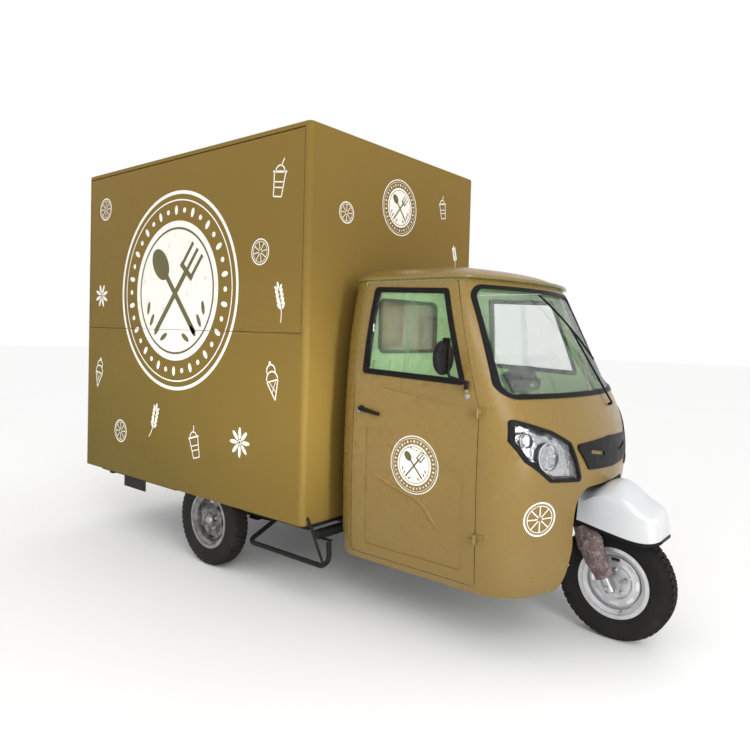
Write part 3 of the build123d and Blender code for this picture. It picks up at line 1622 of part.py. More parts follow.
def pad(origin, x_dir, z_dir, long, wide, thick):
    """Crowned cushion on a plane: sides drawn in below and above, with sewn channels across its face."""
    base = Plane(origin=origin, x_dir=x_dir, z_dir=z_dir)
    levels = (
        (0, seat_draw),
        (thick / 3, 0),
        (2 * thick / 3, 0),
        (thick - seat_crown, 2 * seat_draw),
        (thick, long / 4),
    )
    with BuildPart() as cushion:
        for level, draw in levels:
            with BuildSketch(base.offset(level)):
                RectangleRounded(long - 2 * draw, wide - 2 * draw, cushion_round)
        loft()
        with BuildSketch(base.offset(thick)):
            with GridLocations(0, wide / (channel_count + 1), 1, channel_count):
                SlotOverall(long - 4 * cushion_round, channel_width)
        extrude(amount=-channel_depth, mode=Mode.SUBTRACT)
    return cushion.part


# Seat cushion and backrest
cushion_place = (seat_middle, 0, seat_top - cushion_thick)
seat_length = seat_front - seat_back
write(pad(cushion_place, (1, 0, 0), (0, 0, 1), seat_length, 2 * seat_half, cushion_thick), "seat_cushion")
rest_x = ahead(cab_back) + cab_skin + rib_raise + touch_gap
rest_place = (rest_x, 0, (backrest_low + backrest_high) / 2)
rest_tall = backrest_high - backrest_low
rest_wide = 2 * seat_half - 4 * cushion_round
write(pad(rest_place, (0, 0, -1), (1, 0, 0), rest_tall, rest_wide, backrest_thick), "seat_backrest")

# Right door outline, window and pressed panel in side view
window_mid = (window_rear_low + window_front_low) / 2


def window_point(distance, level):
    """Corner of the sloping door window, at a level above its lower edge."""
    return (ahead(distance), window_low + level - tan(window_slope) * (distance - window_mid))


window_points = (
    window_point(window_rear_low, 0),
    window_point(window_front_low, 0),
    window_point(window_front_high, window_height),
    window_point(window_rear_high, window_height),
)
door_points = (
    (ahead(pillar_ahead), sill_top),
    (ahead(seam_ahead), sill_top),
    (ahead(seam_ahead), seam_knee),
    (ahead(seam_top_ahead), cab_top),
    (ahead(pillar_ahead), cab_top),
)
foot_skin = station_at(mirror_foot_height)[0]
foot_place = (ahead(mirror_foot_ahead), -foot_skin - mirror_sleeve - panel_gap)
handle_skin = station_at(handle_height)[0]

with BuildPart() as right_door:
    door_shape = ring(outline(door_points, door_round, panel_gap), outline(window_points, window_round))
    add(behind(cab_wall(0, door_thick), right_side, door_shape, side_reach))
    pressing = outline([(ahead(x), z) for x, z in panel_points], panel_round)
    add(behind(cab_wall(-panel_gap, panel_pressing), right_side, pressing, side_reach), mode=Mode.SUBTRACT)
    for height in hinge_heights:
        add(hinge_half(height, -1))
    with BuildSketch(Plane.XY.offset(mirror_foot_height)):
        with Locations(foot_place):
            Circle(mirror_sleeve)
        with Locations((foot_place[0], -foot_skin)):
            Rectangle(2 * mirror_sleeve, 2 * mirror_sleeve)
    extrude(amount=-mirror_foot_tall)
    with BuildSketch(Plane.XY.offset(mirror_foot_height)):
        with Locations(foot_place):
            Circle(mirror_pin)
    extrude(amount=mirror_pin_tall)
    with BuildSketch(right_side):
        with Locations((ahead(handle_ahead), handle_height)):
            Circle(handle_shaft + running_gap)
    extrude(amount=side_reach, mode=Mode.SUBTRACT)

# Door handle: shaft through the door with a tapered lever
with BuildPart() as right_door_handle:
    with BuildSketch(Plane.XZ.offset(handle_skin - door_thick)):
        with Locations((ahead(handle_ahead), handle_height)):
            Circle(handle_shaft)
    extrude(amount=door_thick + handle_stand)
    with BuildSketch(Plane.XZ.offset(handle_skin + 4 * touch_gap)):
        with Locations((ahead(handle_ahead), handle_height)):
            Circle(handle_rose)
    extrude(amount=handle_stand / 2)
    with BuildSketch(Plane.XZ.offset(handle_skin + handle_stand)):
        with Locations((ahead(handle_ahead), handle_height)):
            Circle(handle_knob)
        with Locations((ahead(handle_ahead + handle_length), handle_height - handle_fall)):
            Circle(handle_tip)
        make_hull()
    extrude(amount=handle_thick)
    fillet(right_door_handle.faces().sort_by(Axis.Y)[0].edges(), radius=small_round / 2)

# Door window: rubber seal, fixed rear pane and sliding front pane
with BuildPart() as right_window_seal:
    seal_edge = outline(window_points, window_round, fit_gap)
    seal_shape = ring(seal_edge, outline(window_points, window_round, window_seal_width))
    add(behind(cab_wall(-seal_proud, door_thick - seal_proud), right_side, seal_shape, side_reach))
pane_shape = outline(window_points, window_round, window_seal_width + touch_gap)


def pane(inset, behind_split, ahead_split):
    """Part of the window's glass between two distances along the vehicle."""
    with BuildPart() as glass:
        add(behind(cab_wall(inset, inset + pane_thick), right_side, pane_shape, side_reach))
        with Locations((ahead((behind_split + ahead_split) / 2), -box_half, 0)):
            Box(ahead_split - behind_split, box_width, 4 * seam_knee, mode=Mode.INTERSECT)
    return glass.part


with BuildPart() as right_fixed_pane:
    add(pane(fixed_pane_in, 0, pane_split + pane_lap))
with BuildPart() as right_sliding_pane:
    add(pane(sliding_pane_in, pane_split - pane_lap, seam_ahead))

# Mirror: sleeve on the door's pin, bent stem and a rounded head clamped to the stem's top
head_middle = Vector(*foot_place, mirror_foot_height) + Vector(-mirror_back, -mirror_out, mirror_up)
stem_x = head_middle.X + mirror_deep / 2 + mirror_arm_radius + touch_gap
stem_head = Vector(stem_x, head_middle.Y, head_middle.Z + mirror_tall / 2 + mirror_sleeve)
with BuildPart() as right_mirror:
    sleeve_tall = mirror_pin_tall - touch_gap
    with BuildSketch(Plane.XY.offset(mirror_foot_height + touch_gap)):
        with Locations(foot_place):
            Circle(mirror_sleeve)
    extrude(amount=sleeve_tall + 3 * mirror_arm_radius)
    with BuildSketch(Plane.XY.offset(mirror_foot_height)):
        with Locations(foot_place):
            Circle(mirror_pin + running_gap)
    extrude(amount=mirror_pin_tall + touch_gap, mode=Mode.SUBTRACT)
    with BuildLine() as stem:
        FilletPolyline(
            (foot_place[0], foot_place[1], mirror_foot_height + mirror_pin_tall + 2 * mirror_arm_radius),
            (stem_x, head_middle.Y, mirror_foot_height + 3 * mirror_pin_tall),
            stem_head,
            radius=3 * mirror_arm_radius,
        )
    with BuildSketch(Plane(origin=stem.line @ 0, z_dir=stem.line % 0)):
        Circle(mirror_arm_radius)
    sweep()
    for place, share in mirror_swell:
        with BuildSketch(Plane.YZ.offset(head_middle.X + place * mirror_deep)):
            with Locations((head_middle.Y, head_middle.Z)):
                Ellipse(share * mirror_width / 2, share * mirror_tall / 2)
    loft()
    clamp_foot = Vector(head_middle.X, head_middle.Y, head_middle.Z + mirror_tall / 2 - mirror_sleeve)
    clamp_head = Vector(head_middle.X, head_middle.Y, stem_head.Z - mirror_arm_radius)
    add(rod(clamp_foot, clamp_head, mirror_arm_radius))
    clamp_back = clamp_head - Vector(mirror_arm_radius, 0, 0)
    add(rod(clamp_back, stem_head - Vector(0, 0, mirror_arm_radius), mirror_clamp))

# Write the right side's door pieces and their mirror images on the left
for name, piece in (
    ("door", right_door),
    ("door_handle", right_door_handle),
    ("window_seal", right_window_seal),
    ("fixed_pane", right_fixed_pane),
    ("sliding_pane", right_sliding_pane),
    ("mirror", right_mirror),
):
    write(piece.part, f"right_{name}")
    with BuildPart() as left_piece:
        mirror(piece.part, about=Plane.XZ)
    write(left_piece.part, f"left_{name}")

# Wiper: spindle through the nose, arm and a blade curved to the glass
with BuildPart() as wiper:
    add(rod(spindle_seat - spindle_way * wiper_out, spindle_head, wiper_spindle))
    add(rod(spindle_head, nose_point(*wiper_clip, wiper_out), wiper_arm))
    blade_points = [nose_point(*place, wiper_out) for place in (wiper_blade[0], wiper_clip, wiper_blade[1])]
    with BuildLine() as blade:
        ThreePointArc(*blade_points)
    with BuildSketch(Plane(origin=blade.line @ 0, z_dir=blade.line % 0)):
        Circle(wiper_arm)
    sweep()
write(wiper.part, "wiper")

# Side guards: tube from the rail along the sill and up to the outrigger, with a stay from the box
with BuildPart() as side_guards:
    with BuildLine() as guard:
        FilletPolyline(
            (ahead(guard_anchor[0]), -guard_anchor[1], guard_anchor[2]),
            (ahead(guard_rear), -guard_half, guard_height),
            (ahead(guard_front), -guard_half, guard_height),
            (ahead(guard_end[0]), -guard_end[1], guard_end[2]),
            radius=guard_bend,
        )
    with BuildSketch(Plane(origin=guard.line @ 0, z_dir=guard.line % 0)):
        Circle(guard_radius)
    sweep()
    stay_head = Vector(ahead(stay_top[0]), -stay_top[1], stay_top[2])
    add(rod(stay_head, Vector(ahead(stay_foot_ahead), -guard_half, guard_height), stay_radius))
    mirror(about=Plane.XZ)
write(side_guards.part, "side_guards")

# Tail lamps on the rear cross bar
with BuildPart() as tail_lamps:
    with BuildSketch(Plane.YZ.offset(ahead(-rail_rear_behind) - rail_width)):
        with Locations((-tail_lamp_side, rail_middle), (tail_lamp_side, rail_middle)):
            RectangleRounded(lamp_width, lamp_height, lamp_height / 5)
    extrude(amount=-tail_lamp_deep)
    fillet(tail_lamps.faces().group_by(Axis.X)[0].edges(), radius=small_round)
write(tail_lamps.part, "tail_lamps")

# Hinge pins of cab doors and rear door, the hatch's hinge rod and the struts' anchor pins
with BuildPart() as hinge_pins:
    for side in (-1, 1):
        for height in hinge_heights:
            with Locations((hinge_x, side * hinge_y, height)):
                Cylinder(hinge_pin, hinge_tall)
    for hinge_z in rear_hinge_places:
        with Locations((rear_hinge_x, rear_hinge_y, hinge_z)):
            Cylinder(rear_pin_radius, rear_hinge_length)
    with BuildSketch(Plane.YZ.offset(panel_middle)):
        with Locations((hatch_axis_y, hatch_axis_z)):
            Circle(hinge_rod_radius)
    extrude(amount=panel_length / 2 + rod_bite - touch_gap, both=True)
    for wall_x, toward in ((box_front - box_wall, -1), (box_rear + box_wall, 1)):
        with BuildSketch(Plane.YZ.offset(wall_x)):
            with Locations((anchor_y, anchor_z)):
                Circle(strut_pin_radius)
        extrude(amount=toward * (post_size - box_wall + strut_from_post + strut_eye_width))
write(hinge_pins.part, "hinge_pins")
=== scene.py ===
"""Looks of a three-wheeler food truck, in metres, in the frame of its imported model."""
from math import atan2, cos, exp, pi, radians, sin, tau

import bmesh
import bpy
from mathutils import Matrix, Vector, noise
from mathutils.bvhtree import BVHTree


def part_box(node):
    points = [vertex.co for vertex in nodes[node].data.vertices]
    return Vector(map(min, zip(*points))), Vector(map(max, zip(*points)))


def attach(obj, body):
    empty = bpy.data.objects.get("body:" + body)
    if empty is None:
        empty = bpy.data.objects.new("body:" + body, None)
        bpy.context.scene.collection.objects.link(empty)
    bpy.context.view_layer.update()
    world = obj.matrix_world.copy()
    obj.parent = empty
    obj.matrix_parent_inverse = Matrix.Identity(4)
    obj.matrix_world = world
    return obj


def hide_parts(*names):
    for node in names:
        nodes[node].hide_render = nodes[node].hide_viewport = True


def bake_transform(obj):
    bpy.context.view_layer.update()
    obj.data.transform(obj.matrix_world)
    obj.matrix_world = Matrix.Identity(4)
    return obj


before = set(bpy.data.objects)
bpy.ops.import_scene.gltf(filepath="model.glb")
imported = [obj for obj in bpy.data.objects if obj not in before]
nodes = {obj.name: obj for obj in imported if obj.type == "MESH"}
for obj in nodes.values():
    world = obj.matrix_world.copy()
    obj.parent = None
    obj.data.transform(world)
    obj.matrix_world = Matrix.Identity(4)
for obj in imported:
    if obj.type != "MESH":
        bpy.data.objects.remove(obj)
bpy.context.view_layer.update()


# Shades of the paints and plastics

def tone(red, green, blue):
    """A linear colour from red, green and blue shades of nought to 255."""
    return (*[((shade / 255 + 0.055) / 1.055) ** 2.4 for shade in (red, green, blue)], 1)


MUSTARD = tone(127, 103, 49)
# Olive is both a print colour and the painted shade that the box and cab paint darkens to low down and
# towards the rear
OLIVE = tone(88, 80, 27)
PALE_GREEN = tone(160, 194, 142)
LINING_WHITE = tone(214, 214, 206)
MUDGUARD_WHITE = tone(196, 197, 201)
CHASSIS_BLACK = tone(20, 20, 20)
TYRE_BLACK = tone(27, 26, 27)
RUBBER_BLACK = tone(14, 14, 15)
PLASTIC_BLACK = tone(15, 15, 16)
# Dark grey for brake dirt near the hubs and for painted shade over the rear rims
WHEEL_GRIME_AND_SHADE = tone(58, 55, 53)
UNDERSEAL = tone(44, 41, 36)
SILVER = tone(206, 207, 210)
BRIGHT_STEEL = tone(196, 196, 198)
ROAD_DUST = tone(136, 124, 104)
SEAT_BLACK = tone(52, 50, 49)
FILM_BROWN = tone(100, 83, 82)
# Paler film colour, a painted highlight along the crease crests
FILM_PALE_HIGHLIGHT = tone(176, 158, 152)
PRINT_WHITE = tone(238, 235, 226)
AMBER = tone(236, 140, 30)
SIGNAL_RED = tone(176, 24, 22)
DEEP_RED = tone(96, 8, 8)
RUST_BROWN = tone(96, 72, 54)
RUBBED_GREY = tone(92, 89, 86)
LAMP_SILVER = tone(186, 187, 190)
BOWL_SILVER = tone(240, 241, 243)
FLOOR_WHITE = tone(250, 250, 250)
FLOOR_PALE = tone(247, 247, 246)
GLASS_TINT = tone(206, 222, 212)
LENS_CLEAR = tone(250, 251, 252)


# Shader building

COLOUR, NUMBER, PLACE = "NodeSocketColor", "NodeSocketFloat", "NodeSocketVector"
X, Y, Z = 0, 1, 2


def put(tree, kind, inputs=None, **settings):
    """A new shader node with its settings made and its inputs set or linked."""
    made = tree.nodes.new("ShaderNode" + kind)
    for name, value in settings.items():
        setattr(made, name, value)
    for key, value in (inputs or {}).items():
        if isinstance(value, bpy.types.NodeSocket):
            tree.links.new(value, made.inputs[key])
        else:
            made.inputs[key].default_value = value
    return made


def here(tree):
    """The place on the piece, in its own coordinates."""
    return put(tree, "TexCoord").outputs["Object"]


def coordinate(tree, axis):
    """One coordinate of the place on the piece."""
    return put(tree, "SeparateXYZ", {0: here(tree)}).outputs[axis]


def facing_way(tree):
    """The outward way of the surface."""
    return put(tree, "TexCoord").outputs["Normal"]


def mixed(tree, share, first, second):
    """A colour part of the way from one to another."""
    return put(tree, "Mix", {0: share, 6: first, 7: second}, data_type="RGBA").outputs[2]


def reckon(tree, operation, first, second):
    """One sum on two values, kept between nought and one."""
    return put(tree, "Math", {0: first, 1: second}, operation=operation, use_clamp=True).outputs[0]


def times(tree, product, *values):
    """Values multiplied together, kept between nought and one."""
    for value in values:
        product = reckon(tree, "MULTIPLY", product, value)
    return product


def vectors(tree, operation, first, second, gives="Vector"):
    """One sum on two vectors."""
    return put(tree, "VectorMath", {0: first, 1: second}, operation=operation).outputs[gives]


def absolute(tree, value):
    """A value without its sign."""
    return put(tree, "Math", {0: value}, operation="ABSOLUTE").outputs[0]


def spread(tree, value, low, high, new_low=0.0, new_high=1.0):
    """A value's range laid on another range, cut off at the ends."""
    return put(tree, "MapRange", {0: value, 1: low, 2: high, 3: new_low, 4: new_high}).outputs[0]


def cloud(tree, scale, detail=3.0, where=None):
    """Soft noise on the piece."""
    place = here(tree) if where is None else where
    return put(tree, "TexNoise", {"Vector": place, "Scale": scale, "Detail": detail}).outputs["Fac"]


def effect(name, takes, gives):
    """An empty shader group: its tree, its input node and its output node."""
    tree = bpy.data.node_groups.new(name, "ShaderNodeTree")
    for way, sockets in (("INPUT", takes), ("OUTPUT", gives)):
        for label, kind in sockets.items():
            tree.interface.new_socket(label, in_out=way, socket_type=kind)
    return tree, tree.nodes.new("NodeGroupInput").outputs, tree.nodes.new("NodeGroupOutput").inputs


def dust_effect():
    """Dry road dust that thins out upwards and gathers in patches."""
    takes = {"Colour": COLOUR, "Dust": COLOUR, "Top": NUMBER, "Amount": NUMBER}
    tree, takes, gives = effect("road_dust", takes, {"Colour": COLOUR, "Mask": NUMBER})
    low = spread(tree, coordinate(tree, Z), takes["Top"], 0.0)
    patchy = spread(tree, cloud(tree, 9.0, 6.0), 0.35, 0.7, 0.25, 1.0)
    mask = times(tree, low, patchy, takes["Amount"])
    tree.links.new(mixed(tree, mask, takes["Colour"], takes["Dust"]), gives["Colour"])
    tree.links.new(mask, gives["Mask"])
    return tree


def drift_and_painted_shade_effect():
    """A paint that wanders at random between two tones, with painted shade: more of the darker second tone
    low down and towards the rear.
    """
    takes = {"First": COLOUR, "Second": COLOUR, "Scale": NUMBER, "Amount": NUMBER}
    tree, takes, gives = effect("drift_and_painted_shade", takes, {"Colour": COLOUR})
    # Painted shade: the darker second tone grows towards the bottom and the rear
    low = spread(tree, coordinate(tree, Z), 2.5, 0.4)
    rear = spread(tree, coordinate(tree, X), 0.9, -1.9)
    wander = spread(tree, cloud(tree, takes["Scale"], 4.0), 0.3, 0.7, 0.6, 1.0)
    share = times(tree, low, rear, wander, takes["Amount"])
    tree.links.new(mixed(tree, share, takes["First"], takes["Second"]), gives["Colour"])
    return tree


def sheet_effect():
    """The slow wave of thin sheet metal under the fine texture of its paint."""
    takes = {"Wave": NUMBER, "Wave scale": NUMBER, "Peel scale": NUMBER}
    tree, takes, gives = effect("sheet_wave", takes, {"Height": NUMBER, "Gloss": NUMBER})
    wave = times(tree, cloud(tree, takes["Wave scale"], 1.0), takes["Wave"])
    peel = times(tree, cloud(tree, takes["Peel scale"], 2.0), 0.008)
    tree.links.new(reckon(tree, "ADD", wave, peel), gives["Height"])
    tree.links.new(cloud(tree, 14.0, 6.0), gives["Gloss"])
    return tree


def inside_effect():
    """One on the faces that look towards a centre, within a half width: the lined side of a panel."""
    takes = {"Centre": PLACE, "Ways": PLACE, "Half": NUMBER}
    tree, takes, gives = effect("inner_side", takes, {"Mask": NUMBER})
    away = vectors(tree, "SUBTRACT", here(tree), takes["Centre"])
    away = vectors(tree, "MULTIPLY", away, takes["Ways"])
    turned_in = vectors(tree, "DOT_PRODUCT", away, facing_way(tree), "Value")
    within = reckon(tree, "LESS_THAN", absolute(tree, coordinate(tree, Y)), takes["Half"])
    tree.links.new(times(tree, spread(tree, turned_in, -0.03, -0.05), within), gives["Mask"])
    return tree


def grain_effect():
    """The small raised cells of moulded plastic, rubber or leather cloth."""
    takes = {"Scale": NUMBER, "Patch": NUMBER}
    tree, takes, gives = effect("moulded_grain", takes, {"Height": NUMBER, "Gloss": NUMBER})
    lattice = {"Vector": here(tree), "Scale": takes["Scale"]}
    cells = put(tree, "TexVoronoi", lattice, feature="DISTANCE_TO_EDGE")
    tree.links.new(spread(tree, cells.outputs["Distance"], 0.0, 0.18), gives["Height"])
    tree.links.new(cloud(tree, takes["Patch"], 5.0), gives["Gloss"])
    return tree


road_dust = dust_effect()
drift_and_painted_shade = drift_and_painted_shade_effect()
sheet_wave = sheet_effect()
inner_side = inside_effect()
moulded_grain = grain_effect()


def placed(tree, group, inputs):
    """An effect placed in a finish with its own values: its outputs."""
    return put(tree, "Group", inputs, node_tree=group).outputs


def finish(name, rough, more=()):
    """A new material with constants on its shader's sockets: itself and its tree."""
    made = bpy.data.materials.new(name)
    made.use_nodes = True
    for socket, value in {"Roughness": rough, **dict(more)}.items():
        made.node_tree.nodes["Principled BSDF"].inputs[socket].default_value = value
    return made, made.node_tree


def dressed(made, colour, rough=None, height=None, depth=0.0):
    """A material led by what changes over its surface: colour, roughness and a fine relief in metres."""
    tree = made.node_tree
    leads = {"Base Color": colour, "Roughness": rough}
    if height is not None:
        relief = {"Height": height, "Distance": depth, "Strength": 1.0}
        leads["Normal"] = put(tree, "Bump", relief).outputs[0]
    for socket, value in leads.items():
        if value is not None:
            tree.links.new(value, tree.nodes["Principled BSDF"].inputs[socket])
    return made


def dusted(tree, shade, top, amount):
    """A shade with road dust on it up to a height: its outputs."""
    return placed(tree, road_dust, {"Colour": shade, "Dust": ROAD_DUST, "Top": top, "Amount": amount})


# Finishes

def middle(node):
    """The middle of a node's box."""
    low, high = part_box(node)
    return (low + high) / 2


BOX_CENTRE = (-0.7765, 0.0, 1.44)
BOX_LINED_HALF = 0.762
CAB_CENTRE = (0.95, 0.0, 1.08)
CAB_LINED_HALF = 0.638
DOOR_LINED_HALF = 0.8
WELL_START = 1.23
ALL_ROUND, SIDEWAYS = (1, 1, 1), (0, 1, 0)
METAL = {"Metallic": 1.0}
DULL = {"Specular IOR Level": 0.14}
GLASS = {"Alpha": 0.22, "Transmission Weight": 1.0, "IOR": 1.45}
FRONT_AXLE = middle("front_rim")
REAR_AXLE = middle("rear_tyre_right")


def sheet_paint(name, centre, ways, half, lining, rough, shine, wave_depth):
    """Mustard panel paint outside, darkening to olive low down and towards the rear as painted shade, with
    dust low down and a lining shade on the inner side.
    """
    made, tree = finish(name, rough, {"Specular IOR Level": shine})
    # Painted shade: the paint darkens to olive low down and towards the rear
    drift_and_shade = {"First": MUSTARD, "Second": OLIVE, "Scale": 1.6, "Amount": 1.0}
    dusty = dusted(tree, placed(tree, drift_and_painted_shade, drift_and_shade)["Colour"], 0.6, 0.16)
    inner = placed(tree, inner_side, {"Centre": centre, "Ways": ways, "Half": half})["Mask"]
    lined = mixed(tree, spread(tree, cloud(tree, 5.0), 0.4, 0.8, 0.0, 0.14), lining, ROAD_DUST)
    sheet = placed(tree, sheet_wave, {"Wave": 0.9, "Wave scale": 2.2, "Peel scale": 380.0})
    satin = spread(tree, sheet["Gloss"], 0.3, 0.7, rough - 0.06, rough + 0.1)
    satin = reckon(tree, "ADD", satin, times(tree, dusty["Mask"], 0.5))
    colour = mixed(tree, inner, dusty["Colour"], lined)
    return dressed(made, colour, satin, sheet["Height"], wave_depth)


def cabin_paint():
    """Pale green paint on the cab floor and seat box, with underseal where the sheet faces the road."""
    made, tree = finish("cab_floor_paint", 0.5)
    road = placed(tree, inner_side, {"Centre": FRONT_AXLE, "Ways": ALL_ROUND, "Half": 1.0})["Mask"]
    well = reckon(tree, "GREATER_THAN", coordinate(tree, X), WELL_START)
    upward = put(tree, "SeparateXYZ", {0: facing_way(tree)}).outputs[Z]
    under = reckon(tree, "MAXIMUM", times(tree, road, well), spread(tree, upward, -0.4, -0.6))
    lined = mixed(tree, spread(tree, cloud(tree, 5.0), 0.4, 0.8, 0.0, 0.2), PALE_GREEN, ROAD_DUST)
    dusty = dusted(tree, mixed(tree, under, lined, UNDERSEAL), 0.62, 0.4)
    matt = spread(tree, dusty["Mask"], 0.0, 0.4, 0.4, 0.8)
    return dressed(made, dusty["Colour"], matt, cloud(tree, 90.0, 5.0), 0.0006)


def white_paint():
    """Gloss white paint with a little dust along its lower edge."""
    made, tree = finish("mudguard_white", 0.22)
    shade = mixed(tree, spread(tree, cloud(tree, 6.0), 0.35, 0.75, 0.0, 0.3), MUDGUARD_WHITE, LINING_WHITE)
    sheet = placed(tree, sheet_wave, {"Wave": 0.6, "Wave scale": 7.0, "Peel scale": 500.0})
    gloss = spread(tree, sheet["Gloss"], 0.3, 0.7, 0.16, 0.3)
    return dressed(made, dusted(tree, shade, 0.66, 0.35)["Colour"], gloss, sheet["Height"], 0.0012)


def frame_paint():
    """Satin black chassis paint, dusty and chipped."""
    made, tree = finish("chassis_black", 0.5, DULL)
    chipped = spread(tree, cloud(tree, 60.0, 8.0), 0.68, 0.74, 0.0, 0.3)
    dusty = dusted(tree, mixed(tree, chipped, CHASSIS_BLACK, RUST_BROWN), 0.62, 0.07)
    satin = spread(tree, dusty["Mask"], 0.0, 0.1, 0.42, 0.7)
    return dressed(made, dusty["Colour"], satin, cloud(tree, 240.0, 4.0), 0.0006)


def brushed(name, shade, rough, across, depth):
    """Metal brushed along one direction: across is the pattern's scale along each axis."""
    made, tree = finish(name, rough, METAL)
    stretched = put(tree, "Mapping", {0: here(tree), 3: across}).outputs[0]
    lines = cloud(tree, 40.0, 4.0, stretched)
    colour = mixed(tree, spread(tree, lines, 0.3, 0.7, 0.0, 0.45), shade, CHASSIS_BLACK)
    return dressed(made, colour, spread(tree, lines, 0.3, 0.7, rough - 0.08, rough + 0.16), lines, depth)


def wheel_silver(name, axle, grime_and_shade, reach):
    """Sprayed silver, with dust low down and a dark grey that spreads from the hub out to a reach: brake dirt
    near the hub, and painted shade where the reach covers the whole rim.
    """
    made, tree = finish(name, 0.36, {"Metallic": 0.55})
    away = vectors(tree, "SUBTRACT", here(tree), axle)
    away = vectors(tree, "MULTIPLY", away, (1, 0, 1))
    far = put(tree, "VectorMath", {0: away}, operation="LENGTH").outputs["Value"]
    blotchy = spread(tree, cloud(tree, 25.0, 6.0), 0.3, 0.6, 0.6, 1.0)
    # Dark grey from the hub outwards: brake dirt near the hub, and painted shade where it covers the whole
    # rim
    grime_and_shade_mask = times(tree, spread(tree, far, reach, reach * 0.5), grime_and_shade, blotchy)
    shade = mixed(tree, spread(tree, cloud(tree, 30.0, 6.0), 0.4, 0.75, 0.0, 0.3), SILVER, ROAD_DUST)
    dusty = dusted(tree, mixed(tree, grime_and_shade_mask, shade, WHEEL_GRIME_AND_SHADE), 0.4, 0.25)
    matt = spread(tree, grime_and_shade_mask, 0.0, 0.8, 0.3, 0.65)
    return dressed(made, dusty["Colour"], matt, cloud(tree, 700.0, 2.0), 0.0002)


def moulded(name, shade, rough, scale, depth, dust_top, dust):
    """Moulded rubber or plastic with a cell grain and dust low down."""
    made, tree = finish(name, rough, DULL)
    grain = placed(tree, moulded_grain, {"Scale": scale, "Patch": 18.0})
    worn = mixed(tree, spread(tree, grain["Gloss"], 0.5, 0.85, 0.0, 0.04), shade, ROAD_DUST)
    matt = spread(tree, grain["Gloss"], 0.3, 0.7, rough - 0.08, rough + 0.1)
    return dressed(made, dusted(tree, worn, dust_top, dust)["Colour"], matt, grain["Height"], depth)


def clear(name, shade, rough):
    """Clear glazing with faint streaks of dust, which lets the light in behind it."""
    made, tree = finish(name, rough, GLASS)
    streaks = put(tree, "Mapping", {0: here(tree), 3: (1.0, 3.0, 0.6)}).outputs[0]
    dusty = spread(tree, cloud(tree, 6.0, 5.0, streaks), 0.45, 0.85, 0.0, 0.12)
    hazy = spread(tree, cloud(tree, 20.0, 4.0), 0.4, 0.8, rough, rough + 0.04)
    return dressed(made, mixed(tree, dusty, shade, ROAD_DUST), hazy)


def lamp_red():
    """A red lens moulded with upright prisms."""
    made, tree = finish("lamp_red", 0.12)
    ribs = put(tree, "TexWave", {"Vector": here(tree), "Scale": 60.0}, bands_direction="Y").outputs["Fac"]
    colour = mixed(tree, spread(tree, ribs, 0.0, 1.0, 0.0, 0.35), SIGNAL_RED, DEEP_RED)
    return dressed(made, colour, spread(tree, cloud(tree, 30.0, 4.0), 0.3, 0.7, 0.08, 0.26), ribs, 0.0012)


def mirror_bright(name, shade, rough, facets):
    """Bright metallised surface, with facets where a lamp has them."""
    made, tree = finish(name, rough, METAL)
    cells = put(tree, "TexVoronoi", {"Vector": here(tree), "Scale": 55.0}, feature="F1")
    colour = mixed(tree, spread(tree, cloud(tree, 25.0), 0.35, 0.75, 0.0, 0.25), shade, SILVER)
    gloss = spread(tree, cloud(tree, 40.0, 3.0), 0.3, 0.7, rough, rough + 0.08)
    return dressed(made, colour, gloss, cells.outputs["Distance"], facets)


def seat_cloth():
    """Grained black seat cover, rubbed a little grey."""
    made, tree = finish("seat_cover", 0.46)
    grain = placed(tree, moulded_grain, {"Scale": 420.0, "Patch": 7.0})
    colour = mixed(tree, spread(tree, grain["Gloss"], 0.4, 0.8, 0.0, 0.35), SEAT_BLACK, RUBBED_GREY)
    satin = spread(tree, grain["Gloss"], 0.3, 0.7, 0.36, 0.6)
    return dressed(made, colour, satin, grain["Height"], 0.0006)


def crumpled_film():
    """Thin brown wrapping film, creased all over, paler along the raised crests of its creases as a painted
    highlight.
    """
    made, tree = finish("sleeve_film", 0.3)
    wrinkled = {"Vector": here(tree), "Scale": 22.0, "Detail": 6.0, "Distortion": 1.6}
    folds = put(tree, "TexNoise", wrinkled).outputs["Fac"]
    ridge = absolute(tree, put(tree, "Math", {0: folds, 1: 0.5}, operation="SUBTRACT").outputs[0])
    crest_and_highlight = spread(tree, ridge, 0.10, 0.0)
    patch = spread(tree, cloud(tree, 9.0, 4.0), 0.35, 0.65)
    # Painted highlight: the paler colour lies along the raised crests, in patches
    colour = mixed(tree, times(tree, crest_and_highlight, patch), FILM_BROWN, FILM_PALE_HIGHLIGHT)
    return dressed(made, colour, spread(tree, cloud(tree, 60.0, 4.0), 0.3, 0.7, 0.2, 0.42), crest_and_highlight, 0.005)


def vinyl(name, shade):
    """Printed film, a little worn through."""
    made, tree = finish(name, 0.42)
    worn = spread(tree, cloud(tree, 22.0, 7.0), 0.55, 0.8, 0.0, 0.3)
    matt = spread(tree, cloud(tree, 15.0, 3.0), 0.3, 0.7, 0.34, 0.52)
    return dressed(made, mixed(tree, worn, shade, MUSTARD), matt)


